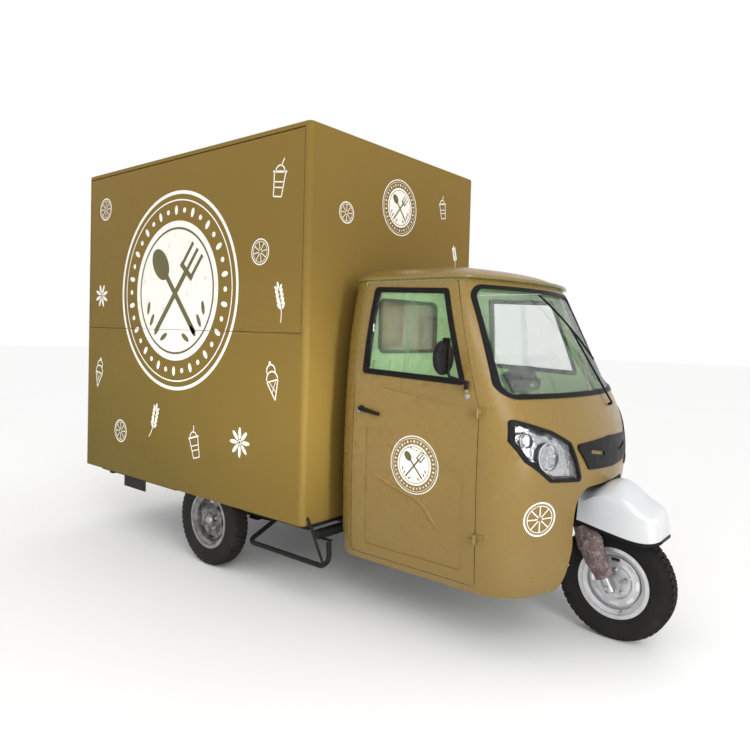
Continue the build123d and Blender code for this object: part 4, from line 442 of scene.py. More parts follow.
BOX_COAT = (LINING_WHITE, 0.46, 0.07, 0.005)
CAB_COAT = (PALE_GREEN, 0.27, 0.4, 0.0006)
box_paint = sheet_paint("box_paint", BOX_CENTRE, ALL_ROUND, BOX_LINED_HALF, *BOX_COAT)
hatch_paint = sheet_paint("hatch_paint", BOX_CENTRE, SIDEWAYS, BOX_LINED_HALF, *BOX_COAT)
cab_paint = sheet_paint("cab_paint", CAB_CENTRE, ALL_ROUND, CAB_LINED_HALF, *CAB_COAT)
door_paint = sheet_paint("door_paint", CAB_CENTRE, SIDEWAYS, DOOR_LINED_HALF, *CAB_COAT)
cab_floor_paint = cabin_paint()
mudguard_white = white_paint()
chassis_black = frame_paint()
front_wheel_paint = wheel_silver("front_wheel_silver", FRONT_AXLE, 0.3, 0.07)
# On the rear rims the dark grey covers the whole rim: painted shade under the box
rear_wheel_paint_and_shade = wheel_silver("rear_wheel_silver_painted_shade", REAR_AXLE, 0.95, 0.25)
bare_steel = brushed("bare_steel", BRIGHT_STEEL, 0.3, (1.0, 1.0, 0.2), 0.0001)
bench_steel = brushed("bench_steel", BRIGHT_STEEL, 0.34, (0.05, 4.0, 1.0), 0.0001)
tyre_rubber = moulded("tyre_rubber", TYRE_BLACK, 0.72, 650.0, 0.0003, 0.56, 0.07)
seal_rubber = moulded("seal_rubber", RUBBER_BLACK, 0.5, 900.0, 0.0002, 0.3, 0.1)
black_plastic = moulded("black_plastic", PLASTIC_BLACK, 0.42, 1100.0, 0.0002, 0.6, 0.1)
window_glass = clear("window_glass", GLASS_TINT, 0.0)
lamp_glass = clear("lamp_glass", LENS_CLEAR, 0.01)
amber_glass = clear("amber_glass", AMBER, 0.05)
lamp_red_lens = lamp_red()
lamp_mirror = mirror_bright("lamp_mirror", LAMP_SILVER, 0.14, 0.003)
bowl_mirror = mirror_bright("bowl_mirror", BOWL_SILVER, 0.05, 0.0004)
glass_mirror = mirror_bright("glass_mirror", BRIGHT_STEEL, 0.03, 0.0)
seat_cover = seat_cloth()
sleeve_film = crumpled_film()
print_white = vinyl("print_white", PRINT_WHITE)
print_olive = vinyl("print_olive", OLIVE)
dial_red = vinyl("dial_red", SIGNAL_RED)

COATED = [
    (box_paint, "box_roof box_front_wall box_rear_wall box_corner_posts rear_door"),
    (hatch_paint, "serving_hatch box_lower_side box_left_wall"),
    (cab_paint, "cab_front cab_rear cab_roof"),
    (door_paint, "right_door left_door"),
    (cab_floor_paint, "cab_floor"),
    (mudguard_white, "mudguard"),
    (chassis_black, "chassis_frame box_subframe fork_crown rear_axle side_guards"),
    (chassis_black, "handlebar brake_pedal parking_brake"),
    (bench_steel, "worktop box_floor"),
    (bare_steel, "hinge_pins fork_sliders hatch_strut_rods"),
    (front_wheel_paint, "front_rim"),
    (rear_wheel_paint_and_shade, "rear_rim_left rear_rim_right"),
    (seal_rubber, "cab_seals right_window_seal left_window_seal mudguard_trim throttle_grip"),
    (black_plastic, "headlamp_housings grille instrument_cluster right_mirror left_mirror wiper"),
    (black_plastic, "right_door_handle left_door_handle rear_door_handle hatch_strut_tubes"),
    (window_glass, "cab_glass right_fixed_pane left_fixed_pane right_sliding_pane left_sliding_pane"),
    (lamp_glass, "headlamp_lenses"),
    (lamp_red_lens, "tail_lamps"),
]
for coat, names in COATED:
    for name in names.split():
        nodes[name].data.materials.clear()
        nodes[name].data.materials.append(coat)


# Shaping helpers

SKINS = {}


def skin(node):
    """A node's surface for casting rays at."""
    if node not in SKINS:
        SKINS[node] = BVHTree.FromObject(nodes[node], bpy.context.evaluated_depsgraph_get())
    return SKINS[node]


def seat_on(node, start, way):
    """Where a ray meets a node, and the outward normal there."""
    place, normal, _, _ = skin(node).ray_cast(Vector(start), Vector(way).normalized())
    return place, normal


def facing(place, way):
    """A matrix that sets a form down at a place with its Z along a way."""
    return Matrix.Translation(place) @ Vector(way).to_track_quat("Z", "Y").to_matrix().to_4x4()


def as_mesh(name, form):
    """A finished form as a mesh."""
    mesh = bpy.data.meshes.new(name)
    form.to_mesh(mesh)
    form.free()
    return mesh


def joined(target, form, matrix=Matrix()):
    """Move a form into place and add it to another."""
    mesh = as_mesh("part", form)
    mesh.transform(matrix)
    target.from_mesh(mesh)
    bpy.data.meshes.remove(mesh)


def turned(profile, steps=32, closed=False):
    """A form turned about Z from pairs of radius and height."""
    form = bmesh.new()
    line = [form.verts.new((radius, 0, height)) for radius, height in profile]
    edges = [form.edges.new(pair) for pair in zip(line, line[1:])]
    if closed:
        edges.append(form.edges.new((line[-1], line[0])))
    bmesh.ops.spin(
        form, geom=line + edges, cent=(0, 0, 0), axis=(0, 0, 1), angle=tau, steps=steps, use_merge=True
    )
    bmesh.ops.remove_doubles(form, verts=form.verts, dist=1e-6)
    bmesh.ops.recalc_face_normals(form, faces=form.faces)
    return form


def block(size):
    """A plain block."""
    form = bmesh.new()
    bmesh.ops.create_cube(form, size=1, matrix=Matrix.Diagonal((*size, 1)))
    return form


def node_copy(node):
    """A copy of a node's shape with its corners merged."""
    form = bmesh.new()
    form.from_mesh(nodes[node].data)
    bmesh.ops.remove_doubles(form, verts=form.verts, dist=1e-5)
    return form


def cut_off(form, place, normal):
    """Cut away what lies behind a plane: the edges along the cut."""
    geom = form.verts[:] + form.edges[:] + form.faces[:]
    cut = bmesh.ops.bisect_plane(form, geom=geom, plane_co=place, plane_no=normal, clear_inner=True)
    return [part for part in cut["geom_cut"] if isinstance(part, bmesh.types.BMEdge)]


def dyed(form, coat):
    """A form with one of its piece's coats on every face."""
    for face in form.faces:
        face.material_index = coat
    return form


def in_scene(name, data):
    """A new object in the scene."""
    made = bpy.data.objects.new(name, data)
    bpy.context.scene.collection.objects.link(made)
    return made


def piece(name, form, coats, body=None, sharp=38):
    """A finished form as an object that rides on a body."""
    mesh = as_mesh(name, form)
    made = in_scene(name, mesh)
    for coat in coats if isinstance(coats, list) else [coats]:
        mesh.materials.append(coat)
    mesh.shade_smooth()
    mesh.set_sharp_from_angle(angle=radians(sharp))
    if body:
        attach(made, body)
    return made


SIDES = (("right", -1), ("left", 1))


# Tyres with their tread

TREAD_PITCHES = 52
TREAD_TOP = 0.2668
TREAD_FLOOR = 0.2595
TREAD_ROOT = 0.004
SHOULDER_DROP = 0.0046
BLOCK_CHAMFER = 0.0014
CARCASS_INSIDE = [(0.2380, 0.0300), (0.2380, -0.0300)]
# Radius and half width from the bead out to the tread
SIDEWALL = [
    (0.1535, 0.0395), (0.1600, 0.0440), (0.1690, 0.0452), (0.1800, 0.0480), (0.1830, 0.0502),
    (0.1860, 0.0502), (0.1890, 0.0500), (0.2050, 0.0538), (0.2200, 0.0552), (0.2300, 0.0554),
    (0.2320, 0.0546), (0.2400, 0.0535), (0.2490, 0.0500), (0.2560, 0.0455), (TREAD_FLOOR, 0.0380),
]
# Place across, width, length, skew and lean of the blocks in each row
TREAD_ROWS = [
    (0.0085, 0.0145, 0.0250, 0.4, 0.0),
    (0.0258, 0.0150, 0.0250, -0.4, 0.0),
    (0.0405, 0.0110, 0.0225, 0.0, 0.45),
]


def tread_block(across, wide, long, skew, lean, sign):
    """One tread block, skewed along the tyre and leaning over its shoulder."""
    tall = TREAD_TOP - TREAD_FLOOR + TREAD_ROOT
    form = block((long, wide, tall))
    top = [edge for edge in form.edges if all(vert.co.z > 0 for vert in edge.verts)]
    bmesh.ops.bevel(
        form, geom=top, offset=BLOCK_CHAMFER, segments=1, profile=0.5, affect="EDGES", material=-1
    )
    for vert in form.verts:
        vert.co.x += vert.co.y * skew * sign
    drop = SHOULDER_DROP if lean else 0.0
    place = Matrix.Translation((0, across * sign, TREAD_TOP - tall / 2 - drop))
    form.transform(place @ Matrix.Rotation(-lean * sign, 4, "X"))
    return form


def tyre(name, node, body):
    """A cross-ply tyre: ribbed sidewalls and skewed blocks."""
    outline = [(radius, -across) for radius, across in SIDEWALL]
    outline += SIDEWALL[::-1] + CARCASS_INSIDE
    form = turned(outline, 80, closed=True)
    form.transform(Matrix.Rotation(-pi / 2, 4, "X"))
    for across, wide, long, skew, lean in TREAD_ROWS:
        for sign in (-1, 1):
            stamp = as_mesh("stamp", tread_block(across, wide, long, skew, lean, sign))
            stamp.transform(Matrix.Rotation(tau / TREAD_PITCHES * (0.5 if sign > 0 else 0.0), 4, "Y"))
            for _ in range(TREAD_PITCHES):
                stamp.transform(Matrix.Rotation(tau / TREAD_PITCHES, 4, "Y"))
                form.from_mesh(stamp)
            bpy.data.meshes.remove(stamp)
    bmesh.ops.translate(form, vec=middle(node), verts=form.verts)
    made = piece(name, form, tyre_rubber, body, 30)
    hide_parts(node)


tyre("treaded_tyre_front", "front_tyre", "front_wheel")
tyre("treaded_tyre_right", "rear_tyre_right", "rear_wheel_right")
tyre("treaded_tyre_left", "rear_tyre_left", "rear_wheel_left")


# Wheel nuts, hub caps and valves

NUTS = 5
NUT_CIRCLE = 0.056
VALVE_PLACE = Vector((0.0405, 0, -0.12825))
HUB_LIP = Vector((0.033, 0, 0))
BESIDE_RIM = 0.3
NUT = [(0, 0), (0.0125, 0), (0.0125, 0.002), (0.0100, 0.003), (0.0100, 0.010), (0.0085, 0.012), (0, 0.012)]
STUD = [(0, 0.012), (0.0055, 0.012), (0.0055, 0.017), (0.0045, 0.018), (0, 0.018)]
HUB_CAP = [
    (0, 0.016), (0.010, 0.0155), (0.018, 0.013), (0.024, 0.008),
    (0.026, 0.002), (0.029, 0.001), (0.029, 0), (0, 0),
]
VALVE_STEM = [
    (0, 0), (0.006, 0), (0.006, 0.010), (0.0042, 0.013), (0.0042, 0.030), (0.003, 0.032), (0, 0.032),
]


def wheel_fittings(name, rim, body, out, capped):
    """Five wheel nuts on their studs, a pressed hub cap and a valve stem on one rim."""
    centre = middle(rim)
    way = Vector((0, out, 0))
    beside = centre + way * BESIDE_RIM
    form = bmesh.new()
    for step in range(NUTS):
        angle = tau * (step + 0.25) / NUTS
        place, _ = seat_on(rim, beside + Vector((cos(angle), 0, sin(angle))) * NUT_CIRCLE, -way)
        nut = turned(NUT, 6)
        joined(nut, turned(STUD, 12))
        joined(form, nut, facing(place, way))
    if capped:
        place, _ = seat_on(rim, beside + HUB_LIP, -way)
        place.x = centre.x
        joined(form, turned(HUB_CAP, 40), facing(place, way))
    place, _ = seat_on(rim, beside + VALVE_PLACE, -way)
    if place is not None:
        joined(form, turned(VALVE_STEM, 16), facing(place, way))
    piece(name, form, bare_steel, body)


wheel_fittings("wheel_nuts_front", "front_rim", "front_wheel", -1, False)
wheel_fittings("wheel_nuts_right", "rear_rim_right", "rear_wheel_right", -1, True)
wheel_fittings("wheel_nuts_left", "rear_rim_left", "rear_wheel_left", 1, True)


# Leaf springs, each split at the axle into a front and a rear half

AXLE_X = REAR_AXLE.x


def spring_half(name, sign, ahead):
    """One half of one leaf spring, from its eye to the axle."""
    form = node_copy("leaf_springs")
    for place, normal in (((0, 0, 0), (0, sign, 0)), ((AXLE_X, 0, 0), (ahead, 0, 0))):
        bmesh.ops.holes_fill(form, edges=cut_off(form, place, normal))
    made = piece(name, form, chassis_black, None, 30)
    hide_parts("leaf_springs")
    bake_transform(made)


for side, sign in SIDES:
    spring_half("leaf_spring_front_" + side, sign, 1)
    spring_half("leaf_spring_rear_" + side, sign, -1)


# Stuffed seat

SEAT_VOXEL = 0.008
SEAT_FRAMES = 20
SEAT_PRESSURE = 4.0
SEAT_SHRINK = 0.010
SEAT_SWELL = 0.014
CHANNEL_DEPTH = 0.012
CHANNEL_HALF = 0.011


def finished_mesh(made):
    """The object's mesh as its modifiers leave it."""
    graph = bpy.context.evaluated_depsgraph_get()
    return bpy.data.meshes.new_from_object(made.evaluated_get(graph))


def stuffed(name, node, out, channels):
    """A foam pad blown up as cloth from its own solid, then drawn in along its sewn channels."""
    low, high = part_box(node)
    centre = (low + high) / 2
    form = node_copy(node)
    share = [1 - 2 * SEAT_SHRINK / size for size in high - low]
    bmesh.ops.scale(form, vec=share, space=Matrix.Translation(-centre), verts=form.verts)
    made = piece(name, form, seat_cover, "truck", 180)
    remesh = made.modifiers.new("remesh", "REMESH")
    remesh.mode = "VOXEL"
    remesh.voxel_size = SEAT_VOXEL
    even = finished_mesh(made)
    made.modifiers.clear()
    made.data = even
    cloth = made.modifiers.new("cloth", "CLOTH")
    cloth.settings.use_pressure = True
    cloth.settings.uniform_pressure_force = SEAT_PRESSURE
    cloth.settings.effector_weights.gravity = 0.0
    for step in range(1, SEAT_FRAMES + 1):
        bpy.context.scene.frame_set(step)
    blown = finished_mesh(made)
    made.modifiers.clear()
    bpy.context.scene.frame_set(1)
    for vert, moved in zip(even.vertices, blown.vertices):
        way = moved.co - vert.co
        if way.length > SEAT_SWELL:
            way *= SEAT_SWELL / way.length
        vert.co += way
    bpy.data.meshes.remove(blown)
    for vert in even.vertices:
        if (vert.co - centre).dot(out) <= 0:
            continue
        for channel in channels:
            vert.co -= out * CHANNEL_DEPTH * exp(-(((vert.co.y - channel) / CHANNEL_HALF) ** 2))
    even.shade_smooth()
    made.modifiers.new("fine", "SUBSURF").render_levels = 1
    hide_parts(node)


stuffed("stuffed_seat", "seat_cushion", Vector((0, 0, 1)), (-0.25, 0.0, 0.25))
stuffed("stuffed_backrest", "seat_backrest", Vector((1, 0, 0)), (-0.21, 0.0, 0.21))


# Film wrapped on the fork legs

FORK_WAY = Vector((-0.461749, 0, 0.887011))
LEG_OUT = 0.100
FILM_FROM = 0.040
FILM_LONG = 0.254
FILM_RINGS = 60
FILM_THICK = 0.0008
FILM_DEEP = 0.058
FILM_WIDE = 0.0305
SLIDER_CLEAR = 0.0255


def wrapped_leg(sign):
    """Thin film wound loosely on one leg and its brake arm, creased and gathered."""
    foot = FRONT_AXLE + Vector((0, sign * LEG_OUT, 0))
    rows = [(1.0, FILM_FROM + FILM_LONG * step / FILM_RINGS) for step in range(FILM_RINGS + 1)]
    form = turned(rows, 84)
    for vert in form.verts:
        around = Vector((vert.co.x, vert.co.y, 0))
        share = (vert.co.z - FILM_FROM) / FILM_LONG
        twisted = Vector((around.x * 1.3, around.y * 1.3, vert.co.z * 12 + sign * 3))
        crease = noise.noise(twisted * 1.5) * 0.16 + (0.4 - abs(noise.noise(twisted * 3.1))) * 0.22
        gathered = 0.66 + 0.34 * min(share * 1.6, 1.0, (1 - share) * 3.2)
        size = gathered * (1.0 + crease)
        vert.co.x = around.x * min(max(FILM_WIDE * size, SLIDER_CLEAR), FILM_WIDE)
        vert.co.y = around.y * max(FILM_DEEP * size, SLIDER_CLEAR)
    bmesh.ops.solidify(form, geom=form.faces[:], thickness=FILM_THICK)
    form.transform(facing(foot, FORK_WAY))
    return form


film = bmesh.new()
for side, sign in SIDES:
    joined(film, wrapped_leg(sign))
film = piece("wrapped_fork_legs", film, sleeve_film, "fork_legs", 180)
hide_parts("fork_sleeves")


# Lamps

LAMP_PLACE = (0.470, 0.893)
INDICATOR_PLACE = (0.563, 0.968)
AHEAD_OF_LAMPS = 3.0
LINER_SHARE = 0.92
LINER_BACK = 0.016
LINER_IN = 0.010
BULB_BACK = 0.016


def lamp_liner():
    """The bright faceted tray close behind each headlamp lens."""
    form = node_copy("headlamp_lenses")
    for side, sign in SIDES:
        verts = [vert for vert in form.verts if vert.co.y * sign > 0]
        centre = sum((vert.co for vert in verts), Vector()) / len(verts)
        bmesh.ops.scale(form, vec=[LINER_SHARE] * 3, space=Matrix.Translation(-centre), verts=verts)
        bmesh.ops.translate(form, vec=(-LINER_BACK, -LINER_IN * sign, 0), verts=verts)
    piece("lamp_liners", form, lamp_mirror, "truck", 40)


def lamp_bowl(name, sign, place, radius, sink, bulb_glass):
    """A reflector bowl behind the lens, aimed part way between ahead and the lens's own way."""
    start = (AHEAD_OF_LAMPS, place[0] * sign, place[1])
    seat, normal = seat_on("headlamp_lenses", start, (-1, 0, 0))
    aim = (normal + Vector((0.8, 0, 0))).normalized()
    deep = radius * 0.42
    bowl = [(radius, 0), (radius * 0.97, -0.002), (radius * 0.8, -radius * 0.2)]
    form = turned(bowl + [(radius * 0.5, -radius * 0.36), (0.012, -deep)], 48)
    lip = [(radius, 0), (radius * 1.06, -0.001), (radius * 1.06, -0.006), (radius * 0.98, -0.006)]
    joined(form, turned(lip, 48, True))
    form.transform(facing(seat - aim * sink, aim))
    piece(name + "_bowl", form, bowl_mirror, "truck")
    bulb = [(0, 0.012), (0.006, 0.0105), (0.0095, 0.006), (0.010, 0), (0.010, -deep), (0, -deep)]
    form = turned(bulb, 24)
    form.transform(facing(seat - aim * (sink + BULB_BACK), aim))
    piece(name + "_bulb", form, bulb_glass, "truck")


lamp_liner()
for side, sign in SIDES:
    lamp_bowl("headlamp_" + side, sign, LAMP_PLACE, 0.058, 0.011, lamp_glass)
    lamp_bowl("indicator_" + side, sign, INDICATOR_PLACE, 0.031, 0.010, amber_glass)


# Mirror glasses, key barrels and mirror foot bolts

MIRROR_HEAD = Vector((1.1595, 0.7537, 1.310))
GLASS_BACK = 0.0172
GLASS_OVAL = (0.062, 0.068)
GLASS_BEVEL = (0.004, 0.014)
KEY_PLACE = (0.5945, 1.023)
KEY_SLOT = (0.0016, 0.008, 0.002)
KEY_SLOT_UP = 0.0046
FOOT_BOLT_PLACE = (1.2115, 1.142)
BESIDE_DOORS = 2.0
KEY_BARREL = [
    (0, 0.004), (0.0035, 0.004), (0.0035, 0.0052), (0.0085, 0.0052),
    (0.0105, 0.003), (0.0105, -0.002), (0, -0.002),
]
FOOT_BOLT = [
    (0, 0.0075), (0.0045, 0.0075), (0.0065, 0.0055), (0.0065, 0.002),
    (0.0115, 0.002), (0.0125, 0.001), (0.0125, -0.002), (0, -0.002),
]


def on_door(door, place, sign):
    """Where a point of the side view lies on a door's skin, and the outward way there."""
    return seat_on(door, (place[0], sign * BESIDE_DOORS, place[1]), (0, -sign, 0))


def mirror_glass(name, body, sign):
    """A thin silvered oval in the mirror's rear face."""
    form = bmesh.new()
    oval = Matrix.Diagonal((*GLASS_OVAL, 1, 1))
    bmesh.ops.create_circle(form, cap_ends=True, segments=56, radius=1, matrix=oval)
    for reach in GLASS_BEVEL:
        widest = max(form.faces, key=lambda face: face.calc_area())
        bmesh.ops.inset_region(form, faces=[widest], thickness=reach, depth=0.0006)
    place = Vector((MIRROR_HEAD.x - GLASS_BACK, MIRROR_HEAD.y * sign, MIRROR_HEAD.z))
    form.transform(facing(place, (-1, 0, 0)))
    bmesh.ops.recalc_face_normals(form, faces=form.faces)
    piece(name, form, glass_mirror, body)


def key_barrel():
    """A bright lock barrel with its key slot."""
    form = turned(KEY_BARREL, 32)
    joined(form, block(KEY_SLOT), Matrix.Translation((0, 0, KEY_SLOT_UP)))
    return form


def door_fitting(name, form, place, door, sign):
    """A bright fitting set on a door's skin."""
    form.transform(facing(*on_door(door, place, sign)))
    piece(name, form, bare_steel, door)


for side, sign in SIDES:
    door = side + "_door"
    door_fitting("mirror_foot_bolt_" + side, turned(FOOT_BOLT, 24), FOOT_BOLT_PLACE, door, sign)
    mirror_glass("mirror_glass_" + side, side + "_mirror", sign)
    door_fitting("key_barrel_" + side, key_barrel(), KEY_PLACE, door, sign)


# Creases pressed in the door skins

BELT_CREASE = [(0.700, 1.158), (0.822, 1.143), (0.968, 1.122), (1.106, 1.104), (1.172, 1.101)]
LOWER_CREASE = [
    (0.720, 0.718), (0.764, 0.697), (0.868, 0.667), (0.965, 0.642),
    (1.002, 0.612), (1.043, 0.560), (1.085, 0.515),
]
# Points, half width and height of each crease
CREASES = ((BELT_CREASE, 0.008, 0.0042), (LOWER_CREASE, 0.011, 0.0062))


def eased(points, rounds=3):
    """A line of points with its corners cut until it runs smooth."""
    for _ in range(rounds):
        cut = [points[0]]
        for first, last in zip(points, points[1:]):
            cut += [first.lerp(last, 0.25), first.lerp(last, 0.75)]
        points = cut + [points[-1]]
    return points


def swept(stations, half_wide, proud):
    """A low rounded bead along stations of place and outward way, running out at both ends."""
    form = bmesh.new()
    edges, last = None, len(stations) - 1
    for step, (place, out) in enumerate(stations):
        along = stations[min(step + 1, last)][0] - stations[max(step - 1, 0)][0]
        across = out.cross(along).normalized()
        fade = min(1.0, 0.05 + 4 * min(step, last - step) / last)
        lie = Matrix((across * half_wide * fade, out * proud * fade, along.normalized()))
        lie = Matrix.Translation(place) @ lie.transposed().to_4x4()
        if edges is None:
            verts = bmesh.ops.create_circle(form, segments=10, radius=1, matrix=lie)["verts"]
            edges = list({edge for vert in verts for edge in vert.link_edges})
        else:
            grown = bmesh.ops.extrude_edge_only(form, edges=edges)["geom"]
            verts = [part for part in grown if isinstance(part, bmesh.types.BMVert)]
            edges = [part for part in grown if isinstance(part, bmesh.types.BMEdge)]
            edges = [edge for edge in edges if all(vert in verts for vert in edge.verts)]
            bmesh.ops.transform(form, matrix=lie @ before.inverted(), verts=verts)
        before = lie
    bmesh.ops.holes_fill(form, edges=form.edges[:])
    bmesh.ops.recalc_face_normals(form, faces=form.faces)
    return form


def door_creases(name, door, sign):
    """The belt crease and the lower sweep of one door."""
    form = bmesh.new()
    for line, half_wide, proud in CREASES:
        stations = [on_door(door, point, sign) for point in eased([Vector(point) for point in line])]
        joined(form, swept(stations, half_wide, proud))
    piece(name, form, door_paint, door, 60)


for side, sign in SIDES:
    door_creases("door_creases_" + side, side + "_door", sign)


# Dials on the instrument pod

DIAL_ALONG = 1.113
DIAL_BACK = 0.045
DIAL_APART = 0.046
ABOVE_DIALS = 0.3
DIAL_FACE = [(0, 0.001), (0.0365, 0.001), (0.0385, 0.0018), (0.0385, 0)]
NEEDLE_HUB = [(0, 0.002), (0.0045, 0.0014), (0.005, -0.001), (0, -0.001)]
TICKS = 20
TICK_REACH = 0.033
POD_AHEAD = Vector((0.887011, 0, 0.461749))


def dial(name, sign, swing):
    """A dial with its ticks, needle and hub, sunk in its well."""
    over = FRONT_AXLE + FORK_WAY * (DIAL_ALONG + ABOVE_DIALS) - POD_AHEAD * DIAL_BACK
    place, _ = seat_on("instrument_cluster", over + Vector((0, sign * DIAL_APART, 0)), -FORK_WAY)
    form = turned(DIAL_FACE, 48)
    for step in range(TICKS + 1):
        long = 0.008 if step % 5 == 0 else 0.004
        turn = Matrix.Rotation(radians(-135 + 270 * step / TICKS), 4, "Z")
        tick = dyed(block((0.0011, long, 0.0006)), 1)
        joined(form, tick, turn @ Matrix.Translation((0, TICK_REACH - long / 2, 0.0014)))
    needle = block((0.0018, 0.030, 0.0008))
    joined(needle, turned(NEEDLE_HUB, 20), Matrix.Translation((0, -0.010, 0)))
    turn = Matrix.Rotation(radians(swing), 4, "Z")
    joined(form, dyed(needle, 2), turn @ Matrix.Translation((0, 0.010, 0.0035)))
    form.transform(facing(place, FORK_WAY) @ Matrix.Rotation(pi / 2, 4, "Z"))
    piece(name, form, [black_plastic, print_white, dial_red], "steering")


dial("speed_dial", -1, 128)
dial("charge_dial", 1, -60)


# Printed motifs: flat forms in X and Y, white first and olive over it

def ring(form, radius, width, steps=72):
    """A printed circle line."""
    rims = []
    for reach in (radius - width / 2, radius + width / 2):
        circle = bmesh.ops.create_circle(form, segments=steps, radius=reach)
        rims += {edge for vert in circle["verts"] for edge in vert.link_edges}
    bmesh.ops.bridge_loops(form, edges=rims)


def spot(form, centre, wide, tall, turn=0.0, steps=20):
    """A printed oval."""
    place = Matrix.Translation((*centre, 0)) @ Matrix.Rotation(radians(turn), 4, "Z")
    size = Matrix.Diagonal((wide, tall, 1, 1))
    bmesh.ops.create_circle(form, cap_ends=True, segments=steps, radius=1, matrix=place @ size)


def bar(form, start, end, width):
    """A printed straight stroke."""
    first, last = Vector((*start, 0)), Vector((*end, 0))
    way = last - first
    place = Matrix.Translation((first + last) / 2) @ Matrix.Rotation(atan2(way.y, way.x), 4, "Z")
    size = Matrix.Diagonal((way.length / 2, width / 2, 1, 1))
    bmesh.ops.create_grid(form, x_segments=4, y_segments=1, size=1, matrix=place @ size)


def strokes(form, points, width):
    """Printed straight strokes from point to point."""
    for start, end in zip(points, points[1:]):
        bar(form, start, end, width)


def bow(form, centre, radius, width, first, last, steps=18):
    """A printed arc stroke between two angles in degrees."""
    angle = radians(first)
    ends = []
    for reach in (radius - width / 2, radius + width / 2):
        ends.append(form.verts.new((centre[0] + reach * cos(angle), centre[1] + reach * sin(angle), 0)))
    edge = form.edges.new(ends)
    bmesh.ops.spin(
        form, geom=ends + [edge], cent=(*centre, 0), axis=(0, 0, 1), angle=radians(last - first), steps=steps
    )


def cup_motif():
    """A paper cup with a lid and a straw."""
    form = bmesh.new()
    strokes(form, [(-0.42, 0.35), (-0.30, -0.85), (0.30, -0.85), (0.42, 0.35)], 0.07)
    bar(form, (-0.52, 0.38), (0.52, 0.38), 0.10)
    bow(form, (0, 0.36), 0.34, 0.07, 0, 180)
    bar(form, (0.06, 0.70), (0.22, 1.05), 0.07)
    bar(form, (-0.36, -0.12), (0.36, -0.12), 0.06)
    bar(form, (-0.34, -0.40), (0.34, -0.40), 0.06)
    return form


def slice_motif():
    """A round citrus slice."""
    form = bmesh.new()
    ring(form, 0.86, 0.09, 48)
    ring(form, 0.70, 0.04, 48)
    for step in range(8):
        angle = tau * step / 8
        bar(form, (0.12 * cos(angle), 0.12 * sin(angle)), (0.68 * cos(angle), 0.68 * sin(angle)), 0.06)
    return form


def wheat_motif():
    """An ear of wheat."""
    form = bmesh.new()
    bow(form, (-1.8, -0.2), 1.8, 0.06, -26, 14, 12)
    for step in range(5):
        rise = -0.25 + step * 0.24
        for sign in (-1, 1):
            spot(form, (sign * 0.17 + 0.02 - rise * 0.05, rise + 0.12), 0.085, 0.20, sign * -34)
    spot(form, (-0.03, 0.98), 0.085, 0.20)
    return form


def cone_motif():
    """An ice cone with two scoops."""
    form = bmesh.new()
    strokes(form, [(-0.40, 0.0), (0.0, -0.95), (0.40, 0.0), (-0.40, 0.0)], 0.07)
    bar(form, (-0.22, -0.05), (0.14, -0.58), 0.04)
    bar(form, (0.22, -0.05), (-0.14, -0.58), 0.04)
    bow(form, (0, 0.06), 0.40, 0.07, 0, 180)
    bow(form, (0, 0.50), 0.30, 0.07, -35, 215)
    spot(form, (0.0, 0.88), 0.09, 0.09)
    return form


def star_motif():
    """An eight-leaved spice star."""
    form = bmesh.new()
    for step in range(8):
        angle = tau * step / 8
        spot(form, (0.52 * cos(angle), 0.52 * sin(angle)), 0.34, 0.12, 45 * step)
    ring(form, 0.12, 0.06, 24)
    return form


LAYER = 0.0004


def rosette():
    """The round badge: two ring lines and a circle of beads about a white plate, with a spoon and a fork."""
    form = bmesh.new()
    ring(form, 0.980, 0.035, 96)
    ring(form, 0.905, 0.014, 96)
    for step in range(36):
        angle = tau * step / 36
        spot(form, (0.805 * cos(angle), 0.805 * sin(angle)), 0.026 + 0.022 * (step % 2), 0.026, step * 10, 14)
    bmesh.ops.create_circle(form, cap_ends=True, segments=96, radius=0.70)
    under, over, top = bmesh.new(), bmesh.new(), bmesh.new()
    ring(under, 0.625, 0.022, 96)
    bar(under, (0.34, -0.42), (-0.16, 0.16), 0.060)
    spot(over, (-0.26, 0.275), 0.125, 0.185, 41, 32)
    bar(over, (-0.34, -0.42), (0.17, 0.17), 0.060)
    for step in (-1, 0, 1):
        foot = Vector((0.19, 0.19)) + Vector((0.075, -0.065)) * step
        bar(under, foot, foot + Vector((0.18, 0.21)), 0.040)
    bar(top, (0.095, 0.272), (0.285, 0.108), 0.055)
    for sign in (-1, 1):
        for step in range(4):
            angle = radians(90 + sign * (22 + step * 16))
            spot(under, (0.50 * cos(angle), -0.50 * sin(angle)), 0.070, 0.026, sign * (30 + step * 16))
    for level, layer in enumerate((under, over, top), 1):
        joined(form, dyed(layer, 1), Matrix.Translation((0, 0, LAYER * level)))
    return form


PRINT_LIFT = 0.0006
PRESS_FROM = 0.15
PRESS_REACH = 0.5


def laid(form, surfaces, centre, right, size, turn=0.0, fine=0.0):
    """Lay a flat motif on the model: turned, scaled, cut fine enough to follow, and pressed onto its skin."""
    across, along = Vector(right).normalized(), Vector((0, 0, 1))
    out = across.cross(along)
    form.transform(Matrix.Diagonal((size, size, 1, 1)) @ Matrix.Rotation(radians(turn), 4, "Z"))
    long = [edge for edge in form.edges if fine and edge.calc_length() > fine]
    while long:
        bmesh.ops.triangulate(form, faces=form.faces[:])
        long = [edge for edge in form.edges if edge.calc_length() > fine]
        bmesh.ops.subdivide_edges(form, edges=long, cuts=1)
    for vert in form.verts:
        start = Vector(centre) + across * vert.co.x + along * vert.co.y + out * PRESS_FROM
        hits = [skin(node).ray_cast(start, -out, PRESS_REACH) for node in surfaces]
        reach = min([hit[3] for hit in hits if hit[0] is not None], default=PRESS_FROM)
        vert.co = start - out * (reach - PRINT_LIFT - vert.co.z)
    return form


